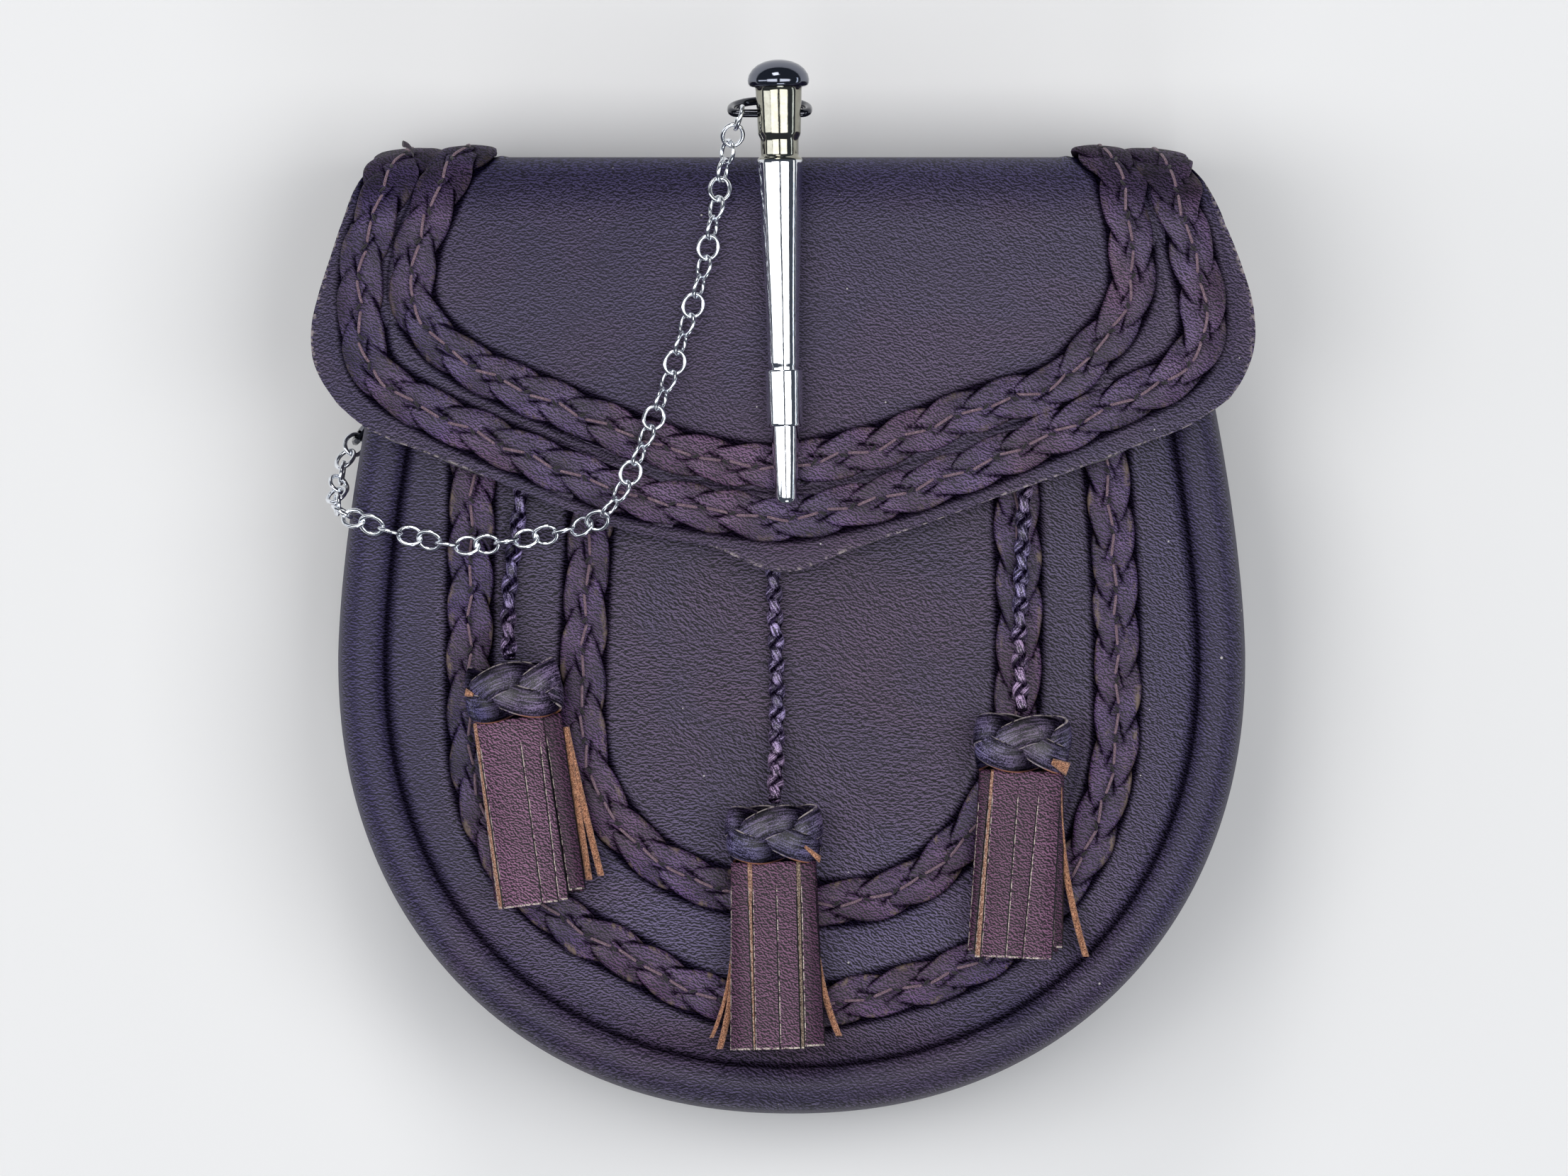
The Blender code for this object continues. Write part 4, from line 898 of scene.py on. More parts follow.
def make_front_panel():
    """The moulded front: a padded rim, the groove inside it and the middle, which is slightly uneven."""
    stations = body_stations(50, 76)
    rim = spline_points(RIM, 5)
    mouth = np.array((BODY_X, BODY_TOP_Y))
    made = Parts("crease", "warm", "pale", "plain")
    rows = []
    for inset, height in rim:
        row = []
        for x, y, way_x, way_y in stations:
            place = x + inset * way_x, y + inset * way_y
            rise = dome(*place) * clamp((inset - 10 * MM) / (4 * MM))
            rise += uneven(*place) if inset > 2 * MM else 0.0
            row.append((*place, height + rise))
            out = inset - GROOVE_INSET
            # Painted shade: dark along the groove inside the rim, and a painted shadow just inside that, low down in
            # the middle.
            groove = 0.95 * exp(-((out / ((0.65 if out < 0 else 1.15) * MM)) ** 2))
            shadow = 0.3 * exp(-(((inset - 12.5 * MM) / (2.5 * MM)) ** 2) - ((x / (45 * MM)) ** 2)) * (y < 0)
            made.note(crease=max(shadow, groove), warm=warmth(*place), pale=paleness(*place),
                      plain=plainness(place[0], inset) if height > WALL_TOP else 0.9)
        rows.append(row)
    start = stations[:, :2] + rim[-1][0] * stations[:, 2:]
    for share in np.linspace(1.0, 0.0, 48)[1:-1]:
        row = []
        for x, y in mouth + share * (start - mouth):
            row.append((x, y, PANEL_Z + dome(x, y) + uneven(x, y)))
            made.note(crease=0.0, warm=warmth(x, y), pale=paleness(x, y), plain=plainness(x))
        rows.append(row)
    made.grid(rows)
    made.close((*mouth, PANEL_Z + dome(*mouth)), len(stations) - 1)
    piece = made.piece("front_panel_leather", LEATHER_FRONT, LEATHER_BACK)
    give_thickness(piece, (0, 0, 1), FRONT_THICK, rim=1, inner=1, bevel=0.4 * MM)
    return finish_piece(piece, "front_panel")


def make_gusset():
    stations = body_stations(30, 60)
    rows = []
    for height, inset in spline_points(GUSSET, 8):
        row = []
        for i, (x, y, way_x, way_y) in enumerate(stations):
            bulge = inset + 0.35 * MM * noise.noise(Vector((i * 0.16, height / (9 * MM), 2.1)))
            row.append((x + bulge * way_x, y + bulge * way_y, height))
        rows.append(row)
    piece = Parts().grid(rows).piece("gusset_leather", LEATHER_BACK)
    give_thickness(piece, None, GUSSET_THICK)
    return finish_piece(piece, "gusset")


def make_back_panel():
    """A flat leather back, whose cut edge shows all round."""
    stations = body_stations(30, 60)
    outline = stations[:, :2] + 0.6 * MM * stations[:, 2:]
    outline = np.array([*outline, outline[0]])
    centre = np.array((BODY_X, 0.5 * BODY_TOP_Y - 20 * MM))
    rows = [[(x, y, BACK_Z) for x, y in centre + share * (outline - centre)] for share in np.linspace(1.0, 0.04, 12)]
    made = Parts().grid(rows).close((*centre, BACK_Z), len(stations))
    piece = made.piece("back_panel_leather", LEATHER_BACK, SUEDE_DARK_AND_GAP_SHADE)
    weld = piece.modifiers.new("weld", "WELD")
    weld.merge_threshold = 0.00001
    give_thickness(piece, (0, 0, -1), BACK_THICK, rim=1, inner=0, bevel=0.5 * MM)
    return finish_piece(piece, "back_panel")


def flap_patch(across, down):
    """A place on the flap's front as (x, up): across from -1 to 1, down from the fold to the lower edge."""
    share = (across + 1) / 2
    left = edge_place(FLAP_LEFT, down)
    right = edge_place(FLAP_RIGHT, down)
    foot = edge_place(FLAP_FOOT, share)
    top_left, top_right = FLAP_LEFT[0], FLAP_RIGHT[0]
    top = top_left + share * (top_right - top_left)
    corners = (
        (1 - share) * (1 - down) * top_left
        + share * (1 - down) * top_right
        + (1 - share) * down * FLAP_LEFT[-1]
        + share * down * FLAP_RIGHT[-1]
    )
    return (1 - down) * top + down * foot + (1 - share) * left + share * right - corners


def edge_place(line, share):
    """A place at a share of a run of even points."""
    return read_at(share * (len(line) - 1), np.arange(len(line)), line)


def outline_curve(pixels, count):
    """A run of outline pixels as even points (x, up)."""
    line = evenly(spline_points(spots(pixels), 8), count)
    return np.array([(x, fold_distance(y)) for x, y in line])


def fold_sides(up):
    """The flap's left and right sides, this far over the fold. Its sides droop, so they show lower than they lie."""
    found = []
    for side in (1, 2):
        places = []
        for pixel in FLAP_FOLD_PX:
            x, y = spot(pixel[side], pixel[0])
            rise = (y - FOLD_Y + FOLD_RADIUS) / (FOLD_RADIUS - droop(x)[0])
            places.append((FOLD_RADIUS * asin(clamp(rise)), x))
        found.append(np.interp(up, *zip(*places, strict=True)))
    return tuple(found)


def flap_swell(x, up):
    """The flap's slow unevenness, which fades out over the fold."""
    fade = clamp(1 - up / FRONT_BEND)
    return fade * (swell(x, up, 13 * MM, 0.13 * MM) + swell(x, up, 5 * MM, 0.035 * MM)) - 0.1 * MM


def left_share(x):
    return clamp((30 * MM - x) / (60 * MM))


def flap_warmth(x, up):
    """Redder towards the tip and a little bluer at the left; bluer and darker over the fold, which is painted shade.
    """
    tip = 0.5 * exp(-((x / (45 * MM)) ** 2) - ((up + 66 * MM) / (28 * MM)) ** 2)
    over = np.interp(up / MM, (-12, -5, 3, 7, 11.5, 17), (0.0, 0.05, 0.1, 0.3, 0.55, 0.95))
    return 0.1 - 0.15 * left_share(x) + tip - over


def flap_shade(x, up):
    """The shade painted on the flap, most just below its fold and more at the left."""
    over = np.interp(up / MM, (-14, -6, -1, 3, 7, 11.5, 17), (0.0, 0.06, 0.07, 0.12, 0.24, 0.3, 0.06))
    return over * (0.6 + 0.4 * left_share(x)) + 0.06 * left_share(x)


def make_flap():
    made = Parts("edge", "warm", "crease", "plain")
    rows = []
    for down in np.linspace(1.0, 0.0, FLAP_ROWS):
        row = []
        for across in np.linspace(-1.0, 1.0, FLAP_COLUMNS):
            x, up = flap_patch(across, down)
            edge = min((1 - down) * FLAP_REACH[1], (1 - abs(across)) * FLAP_REACH[0]) * MM
            ripple = 0.4 * MM * exp(-edge / (3 * MM)) * noise.noise(Vector((x / (7 * MM), up / (9 * MM), 5.0)))
            row.append(flap_point(x, up, flap_swell(x, up) + ripple))
            made.note(edge=exp(-edge / (0.4 * MM)), warm=flap_warmth(x, up), crease=flap_shade(x, up),
                      plain=0.3 * left_share(x))
        rows.append(row)
    start = 0.0
    ups = []
    for reach, steps in ((FRONT_BEND, 18), (FOLD_TOP, 10), (BACK_BEND, 10), (BACK_LEG, 6)):
        ups += list(start + np.linspace(0.0, reach, steps)[1:])
        start += reach
    for up in ups:
        left, right = fold_sides(up)
        row = []
        for x in left + np.linspace(0.0, 1.0, FLAP_COLUMNS) * (right - left):
            row.append(flap_point(x, up, flap_swell(x, up)))
            made.note(edge=exp(-min(x - left, right - x) / (0.4 * MM)), warm=flap_warmth(x, up),
                      crease=flap_shade(x, up), plain=0.9 * clamp((up - 12 * MM) / (8 * MM)))
        rows.append(row)
    piece = made.grid(rows).piece("flap_leather_piece", LEATHER_FLAP, SUEDE_DARK_AND_GAP_SHADE, LEATHER_BACK)
    give_thickness(piece, (0, 0, 1), FLAP_THICK, rim=1, inner=2, bevel=0.55 * MM)
    return finish_piece(piece, "flap")


FLAP_LEFT = outline_curve(FLAP_LEFT_PX, 60)
FLAP_RIGHT = outline_curve(FLAP_RIGHT_PX, 60)
FLAP_FOOT = outline_curve(FLAP_FOOT_PX, 160)


def flap_sides(up):
    """The flap's left and right sides at a height on its front or over the fold."""
    if up > 0:
        return fold_sides(up)
    return tuple(np.interp(up, line[::-1, 1], line[::-1, 0]) for line in (FLAP_LEFT, FLAP_RIGHT))


# What a plait lies on: its surface and unevenness, the marks of its leather (on the flap, the shade painted over the
# fold comes with its warmth), the shade that the ground paints on the laces, and the materials
FLAP_GROUND = SimpleNamespace(
    point=flap_point, swell=flap_swell, warmth=flap_warmth, paleness=lambda x, up: 0.0, shade=flap_shade,
    lace_shade=lambda up: clamp(up / FOLD_RADIUS, 0.5), slot="flap_leather", leather=LEATHER_FLAP,
    lace=LEATHER_PLAIT_FLAP,
)
FRONT_GROUND = SimpleNamespace(
    point=front_point, swell=uneven, warmth=warmth, paleness=paleness, shade=lambda x, y: 0.0,
    lace_shade=lambda y: 0.0, slot="pouch_leather", leather=LEATHER_FRONT, lace=LEATHER_PLAIT,
)


def lace_section(count, flat=0.95):
    """A flat lace's section: across and up, both from -1 to 1. The smaller flat is, the flatter its top."""
    return [
        (copysign(abs(across) ** 0.85, across), copysign(abs(up) ** flat, up))
        for across, up in circle(count)
    ]


def lace_at(along, strand, period):
    """A lace's sideways place, its lean, its middle's height and its turn, this far along its plait."""
    turn = 2 * pi * (along / period + strand / 3)
    lean = atan(PLAIT_SWING * cos(turn) * 2 * pi / period)
    stray = noise.noise(Vector((along / (6 * MM), strand * 3.7, period / MM)))
    lift = noise.noise(Vector((along / (4 * MM), strand * 5.3 + 2, period / MM)))
    middle = LACE_THICK / 2 + PLAIT_WEAVE * (1 + sin(2 * turn)) + 0.12 * MM * lift
    return PLAIT_SWING * sin(turn) + 0.5 * MM * stray, lean, middle, turn


def dish(reach, turn):
    """How far a lace's side is lifted or sunk, as it leans outwards at the plait's sides."""
    return -LACE_DISH * reach * sin(turn) * abs(sin(turn))


def lace_top(lace, side):
    """The height of a lace's top at a place to the plait's side, or nothing beyond the lace."""
    centre, lean, middle, turn = lace
    reach = (side - centre) * cos(lean)
    away = abs(reach) / (LACE_WIDTH / 2)
    if away >= 1:
        return None
    return middle + LACE_THICK / 2 * (1 - away**2.35) ** (LACE_FLAT / 2) + dish(reach, turn)


def plait_height(along, side, period):
    """The height of a plait's top over its floor, at a place along it and to its side."""
    tops = [lace_top(lace_at(along, strand, period), side) for strand in range(3)]
    return max((top for top in tops if top is not None), default=0.0)


def plait_crease(along, side, strand, across, period):
    """The shade painted on a lace here: where another lies over it, close by, at its own sides and under the stitches.
    """
    own = lace_at(along, strand, period)
    level = lace_top(own, side) or own[2]
    dark = 0.5 * max(0.0, (abs(across) - 0.8) / 0.2) ** 1.5
    dark = max(dark, 0.62 * max(0.0, 1 - abs(side) / VALLEY_HALF))
    for other in {0, 1, 2} - {strand}:
        lace = lace_at(along, other, period)
        for shift, share in ((0.0, 1.0), (-LAP_REACH, 0.95), (LAP_REACH, 0.95)):
            top = lace_top(lace, side + shift)
            if top is not None:
                dark = max(dark, share * clamp((top - level) / LAP_HEIGHT))
    return dark


def make_plait(node, line, ground):
    """A flat plait of three laces, its stitches and the leather that it presses up beside it."""
    name = f"{node}_laces"
    period = line.length / max(3, round(line.length / PLAIT_PERIOD))
    count = int(line.length / PLAIT_STEP)
    section = lace_section(20, LACE_FLAT)
    made = Parts("run", "width", "crease", "rub")
    for strand in range(3):
        rings = []
        for step in range(count + 1):
            along = line.length * step / count
            wide = line.wide(along)
            centre, lean, middle, turn = lace_at(along, strand, period)
            ring = []
            for across, up in section:
                reach = across * LACE_WIDTH / 2
                side = centre + cos(lean) * reach
                place = along - sin(lean) * reach
                height = PLAIT_FLOOR + middle + up * LACE_THICK / 2 + dish(reach, turn)
                x, y = line.place(place, side * wide)
                ring.append(ground.point(x, y, max(PLAIT_FLOOR * 0.5, height)))
                made.note(run=along + strand * 0.11, width=reach, rub=clamp((abs(side) - RUB_START) / (0.7 * MM)),
                          crease=max(ground.lace_shade(y), plait_crease(place, side, strand, across, period)))
            rings.append(ring)
        made.tube(rings)
    finish_piece(made.piece(name, ground.lace), node)
    make_stitches(name, line, ground.point, period)
    make_welts(f"{name}_welts", line, ground)


def make_welts(name, line, ground):
    """The panel's leather close to a plait: a dark line of painted shade at the plait's border and a soft ridge beside
    it.
    """
    made = Parts("crease", "warm", "pale")
    count = int(line.length / (1.2 * MM))
    border = PLAIT_SWING + LACE_WIDTH / 2 * 0.96
    for hand in (-1, 1):
        rows = []
        for step in range(count + 1):
            along = line.length * step / count
            wide = line.wide(along)
            row = []
            for out, height, dark in WELT:
                x, y = line.place(along, hand * (border * wide + out))
                if ground is FLAP_GROUND:
                    left, right = flap_sides(y)
                    x = min(max(x, left + 0.4 * MM), right - 0.4 * MM)
                row.append(ground.point(x, y, ground.swell(x, y) + height))
                made.note(crease=max(dark / MM, ground.shade(x, y)), warm=ground.warmth(x, y),
                          pale=ground.paleness(x, y))
            rows.append(row)
        made.grid(rows)
    return finish_piece(made.piece(name, ground.leather))


def make_stitches(name, line, point, period):
    """Thread that shows in short runs down the middle of a plait, with a dark lump between each two, which paints the
    shade in the needle hole there.
    """
    made = Parts()
    hole_shades = Parts()
    count = int(line.length / STITCH_PITCH)
    reach = STITCH_LENGTH / 2
    for number in range(count):
        middle = (number + 0.5) * line.length / count
        drift = 0.35 * MM * noise.noise(Vector((number * 0.71, line.length * 50, 0.0)))
        turn = 0.13 * (-1) ** number + 0.2 * noise.noise(Vector((number * 1.3, 4.0, line.length * 50)))
        level = max(plait_height(middle + share * reach, drift, period) for share in (-0.6, 0.0, 0.6))
        rings = []
        for share in np.linspace(-1.0, 1.0, 11):
            side = drift + share * reach * turn
            height = PLAIT_FLOOR + level - 0.8 * MM * abs(share) ** 5
            rings.append([
                point(*line.place(middle + share * reach, side + STITCH_RADIUS * across),
                      height + STITCH_RADIUS * (0.1 + 0.8 * up))
                for across, up in circle(8)
            ])
        made.tube(rings)
        if number == count - 1:
            continue
        # The dark lump over the needle hole here is painted shade.
        gap = middle + 0.5 * line.length / count
        top = PLAIT_FLOOR + plait_height(gap, 0.0, period)
        slant = 0.45 if number % 2 else -0.45
        rings = []
        for share in np.linspace(-1.0, 1.0, 7):
            size = sqrt(max(0.0025, 1 - share**2))
            rings.append([
                point(*line.place(gap + share * HOLE_REACH, share * 0.8 * MM * slant + HOLE_RADIUS * size * across),
                      top + (0.08 + 0.22 * size * up) * MM)
                for across, up in circle(8)
            ])
        hole_shades.tube(rings)
    finish_piece(hole_shades.piece(f"{name}_hole_shades", NEEDLE_HOLE_SHADE))
    finish_piece(made.piece(f"{name}_stitches", THREAD))


def over_the_fold(pixels, end_columns, more):
    """A plait's line on the flap, whose two ends go on over the fold at the pixel columns given, and down the back."""
    line = [(x, fold_distance(y)) for x, y in spots(pixels)]
    ends = [FRONT_BEND * 0.85, *(FRONT_BEND + FOLD_TOP * share for share in (0.1, 0.45, 0.8))]
    left, right = (spot(px, 0)[0] for px in end_columns)
    return Line([*((left, up) for up in reversed(ends)), *line, *((right, up) for up in ends)], more)


def make_plaits():
    for name, pixels, ends, more in (("outer", FLAP_OUTER_PX, (577, 1629), 0.5),
                                     ("inner", FLAP_INNER_PX, (660, 1552), 0.2)):
        make_plait(f"flap_plait_{name}", over_the_fold(pixels, ends, more), FLAP_GROUND)
    for name, pixels in (("outer", FRONT_OUTER_PX), ("inner", FRONT_INNER_PX)):
        make_plait(f"front_plait_{name}", Line(spots(pixels)), FRONT_GROUND)


def make_belt_loop(side, centre):
    """A band that stands off the back between two sewn tabs."""
    end = LOOP_REACH + LOOP_BEND
    tab = end + LOOP_TAB
    high = BACK_Z - GAP
    half = LOOP_WIDTH / 2

    def face(out, high, low):
        """One face of the band as (y, z), this far outside its middle at the bends."""
        run = [(tab, high), (end + out, high), (LOOP_REACH + out, low)]
        return [*((-y, z) for y, z in run), *reversed(run)]

    outer = face(0.5 * LOOP_THICK, high - LOOP_THICK, 0.0)
    inner = face(-0.5 * LOOP_THICK, high, LOOP_THICK)
    rings = [
        [(centre + sign * half, LOOP_Y + y, z) for sign, (y, z) in ((-1, low), (1, low), (1, top), (-1, top))]
        for low, top in zip(outer, inner, strict=True)
    ]
    piece = Parts().tube(rings).piece(f"belt_loop_{side}_leather", LEATHER_BACK)
    piece.data.shade_flat()
    round_off(piece, 0.5 * MM, 3)
    finish_piece(piece, f"belt_loop_{side}")
    stitches = Parts()
    for y in (LOOP_Y - (tab - 2.4 * MM), LOOP_Y + (tab - 2.4 * MM)):
        for x in np.linspace(centre - half + 3 * MM, centre + half - 3 * MM, 6):
            stitches.tube(bent_thread(*((x + reach, y, high - LOOP_THICK) for reach in (-1.2 * MM, 1.2 * MM))))
    finish_piece(stitches.piece(f"belt_loop_{side}_stitches", THREAD_DARK))


def bent_thread(start, end, out=(0, 0, -1), radius=0.3 * MM, rise=0.15 * MM):
    """Rings of one stitch between two holes."""
    start, end, out = Vector(start), Vector(end), Vector(out)
    side = out.cross((end - start).normalized())
    rings = []
    for share in np.linspace(-1.0, 1.0, 7):
        centre = start.lerp(end, (share + 1) / 2) + out * (rise - 0.6 * MM * abs(share) ** 4)
        rings.append([centre + radius * (out * up + side * across) for across, up in circle(8)])
    return rings


def make_seams():
    """Stitches round the front's side wall and round the back, which hold the gusset."""
    line = evenly(body_stations(60, 110)[:, :2], 180)
    made = Parts()
    for place, way in zip(line[2:-2], directions(line)[2:-2], strict=True):
        out = Vector((-way[1], way[0], 0.0))
        if out.dot(Vector((place[0] - BODY_X, place[1], 0.0))) < 0:
            out.negate()
        half = Vector((*way, 0.0)) * MM
        side = Vector((*place, 35.6 * MM)) - out * 0.35 * MM
        made.tube(bent_thread(side - half, side + half, out, SEAM_RADIUS, 0.05 * MM))
        under = Vector((*place, BACK_Z)) - out * 3.2 * MM
        made.tube(bent_thread(under - half, under + half, (0, 0, -1), SEAM_RADIUS, 0.1 * MM))
    finish_piece(made.piece("seam_stitches", THREAD_DARK))


# Tassels


def make_cord(side):
    """A round plait of four strands, two winding each way and passing over and under each other."""
    route = evenly(spline_points(CORDS[side], 10), 160)
    along, ways = distances(route), directions(route)
    length = along[-1]
    half_width, half_thick = CORD_STRAND
    period = CORD_PERIODS[side]
    reach = CORD_RADIUS - half_thick * 1.45

    def place(distance, angle, radius):
        distance = clamp(distance, length)
        centre = Vector(read_at(distance, along, route))
        way = Vector(read_at(distance, along, ways)).normalized()
        up = Vector((0, 0, 1))
        up = (up - way * up.dot(way)).normalized()
        return centre + radius * (up * cos(angle) + way.cross(up) * sin(angle))

    made = Parts("run", "width", "crease")
    count = int(length / (0.42 * MM))
    section = lace_section(14)
    for hand, strand in ((1, 0), (1, 1), (-1, 0), (-1, 1)):
        rings = []
        for step in range(count + 1):
            distance = length * step / count
            phase = 2 * pi * distance / period
            beat = 2 * (phase - pi / 4)
            offset = strand * pi + (0.0 if hand == 1 else pi / 2)
            angle = hand * (phase - CORD_LINGER / 2 * sin(beat)) + offset - pi / 4
            radius = reach - hand * half_thick * 0.45 * cos(beat)
            slant = atan(hand * radius * 2 * pi / period * (1 - CORD_LINGER * cos(beat)))
            under = 0.5 + 0.5 * hand * cos(beat)
            ring = []
            for across, up in section:
                wide = across * half_width
                # Painted shade where a strand dives under the others, and towards its sides.
                made.note(run=distance + hand * 0.1 + strand * 0.2, width=wide,
                          crease=min(1.0, max(0.0, (under - 0.3) / 0.22) + 0.9 * abs(across) ** 4))
                turned = angle + cos(slant) * wide / radius
                ring.append(place(distance - sin(slant) * wide, turned, radius + up * half_thick))
            rings.append(ring)
        made.tube(rings)
    piece = made.piece(f"cord_{side}_braid", LEATHER_CORD)
    return finish_piece(piece, f"cord_{side}"), route, length


def tassel_frame(x, y, lean, z):
    """Local Z up the tassel, local X across it and local Y down into the front."""
    turn = Matrix.Rotation(radians(lean), 4, "Z")
    upright = Matrix(((1, 0, 0, 0), (0, 0, 1, 0), (0, -1, 0, 0), (0, 0, 0, 1)))
    return Matrix.Translation((x, y, z)) @ turn @ upright


class Oval:
    """An oval that is read by the distance round it."""

    def __init__(self, half_width, half_depth, start):
        turns = np.linspace(0, 2 * pi, 361) + start
        self.points = np.stack([half_width * np.cos(turns), half_depth * np.sin(turns)], axis=1)
        self.along = distances(self.points)
        self.length = self.along[-1]
        out = np.stack([np.cos(turns) / half_width, np.sin(turns) / half_depth], axis=1)
        self.out = out / np.linalg.norm(out, axis=1)[:, None]

    def place(self, distance, height):
        distance %= self.length
        return read_at(distance, self.along, self.points) + read_at(distance, self.along, self.out) * height


def make_knot(side, start):
    """A collar woven of one broad lace that goes round three times."""
    x, y, lean = KNOTS[side]
    turn = tassel_frame(x, y, lean, TASSEL_FLOOR + KNOT_HALF[1])
    half_width, half_thick = KNOT_LACE
    weave = 0.5 * half_thick
    inset = half_thick + weave
    oval = Oval(KNOT_HALF[0] - inset, KNOT_HALF[1] - inset, start)
    swing = KNOT_LENGTH / 2 - half_width * 0.92
    period = 3 * oval.length / KNOT_BIGHTS
    section = lace_section(24, 0.75)
    made = Parts("run", "width", "crease", "edge", "tan")
    rings = []
    for step in range(KNOT_STEPS):
        along = 3 * oval.length * step / KNOT_STEPS
        phase = 2 * pi * along / period
        rise = swing * sin(phase)
        slant = atan(swing * cos(phase) * 2 * pi / period)
        weaving = sin(2 * phase)
        ring = []
        for across, up in section:
            wide = across * half_width
            height = rise + cos(slant) * wide
            barrel = 0.45 * MM * abs(height / (KNOT_LENGTH / 2)) ** 3
            out = weave * weaving + up * half_thick - 0.1 * wide * sin(phase) - barrel
            ring.append(turn @ Vector((*oval.place(along - sin(slant) * wide, out), height)))
            # Painted shade where the lace dives under, and towards its sides short of the pale cut.
            sides = 0.7 * min(1.0, abs(across) / 0.86) ** 4 if abs(across) < CUT_START else 0.0
            made.note(run=along, width=wide, crease=min(0.96, max(0.0, 0.15 - weaving) ** 1.1 + sides),
                      edge=clamp((abs(across) - CUT_START) * 25), tan=clamp((-height - TAN_START) / (0.6 * MM)))
        rings.append(ring)
    made.tube(rings, closed=True)
    flat = Matrix.Diagonal((1.0, KNOT_HALF[1] / KNOT_HALF[0], 1.0, 1.0))
    centring = Matrix.Translation((0, 0, KNOT_LENGTH / 2))
    profile = [(distance, max(0.02 * MM, share * KNOT_HALF[0])) for distance, share in KNOT_CORE]
    rings = turned_rings(profile, 28, turn @ flat @ centring)
    # The roll inside the knot is painted in full shade.
    for _ in range(28 * len(rings)):
        made.note(crease=1.0)
    made.tube(rings)
    # The lace's cut end, which shows its raw leather
    (start_x, start_z), (end_x, end_z), thick = KNOT_ENDS[side]
    rings = []
    for share in np.linspace(0.0, 1.0, 8):
        across, along = start_x + share * (end_x - start_x), start_z + share * (end_z - start_z)
        bow = sqrt(max(0.0, 1 - (across / (KNOT_HALF[0] + 0.6 * MM)) ** 2))
        centre = Vector((across, -KNOT_HALF[1] * bow * 0.98, along))
        size = thick * (0.45 + 0.55 * share)
        rings.append([turn @ (centre + Vector((0.3 * size * c, 0.8 * size * s, size * c))) for c, s in circle(8)])
    end_piece = finish_piece(Parts().tube(rings).piece(f"knot_{side}_cut_end", SUEDE))
    return finish_piece(made.piece(f"knot_{side}_lace", LEATHER_KNOT), f"knot_{side}"), end_piece


# Where a knot's cut lace end shows, in its own frame: across it and along it, from and to, and its half thickness
KNOT_ENDS = {
    "left": ((-8.3 * MM, 0.2 * MM), (-9.9 * MM, 1.0 * MM), 0.85 * MM),
    "centre": ((6.2 * MM, -2.6 * MM), (9.3 * MM, -5.4 * MM), 0.7 * MM),
    "right": ((6.2 * MM, -3.4 * MM), (9.6 * MM, -4.9 * MM), 1.4 * MM),
}
# The strips of each skirt, across it as its pixels: left and right at the top, left and right at the foot, how much
# lower its foot is than the others', its tone from mauve to dark (for tan from orange to olive, and on edge how late
# it comes out from under the front), and how it lies: on the front, low beside it, on edge, or as a tan line
STRIPS_PX = {
    "left": [
        (672, 729, 711, 766, 0, 0.0, "front"),
        (730, 757, 767, 789, -1, 0.1, "front"),
        (758, 765, 790, 804, -2, 0.35, "front"),
        (767, 792, 806, 829, -14, 0.95, "low"),
        (667, 671, 703, 710, 0, 0.0, "tan"),
        (793, 800, 829, 842, -25, 0.0, "edge"),
        (795, 801, 846, 860, -29, 0.0, "edge"),
    ],
    "centre": [
        (1031, 1053, 1030, 1062, 0, 0.55, "front"),
        (1054, 1060, 1063, 1065, 0, 0.25, "tan"),
        (1061, 1093, 1066, 1100, 0, 0.35, "front"),
        (1094, 1122, 1101, 1129, 0, 0.4, "front"),
        (1123, 1128, 1130, 1135, 0, 0.9, "tan"),
        (1129, 1148, 1136, 1164, -3, 0.85, "front"),
        (1033, 1038, 1009, 1020, -2, 1.0, "edge"),
        (1032, 1035, 1001, 1006, -18, 1.0, "edge"),
        (1142, 1147, 1178, 1189, -16, 1.0, "edge"),
    ],
    "right": [
        (1402, 1437, 1383, 1417, 0, 0.4, "front"),
        (1438, 1467, 1418, 1441, 0, 0.45, "front"),
        (1468, 1497, 1442, 1483, 0, 0.35, "front"),
        (1383, 1397, 1364, 1373, -8, 0.9, "low"),
        (1398, 1402, 1374, 1382, 1, 0.1, "tan"),
        (1490, 1500, 1484, 1498, -17, 0.9, "low"),
        (1491, 1499, 1525, 1537, -6, 0.3, "edge"),
    ],
}
SKIRT_TOP_PX = {"left": 1015, "centre": 1215, "right": 1082}
SKIRT_FOOT_PX = {"left": 1281, "centre": 1475, "right": 1358}


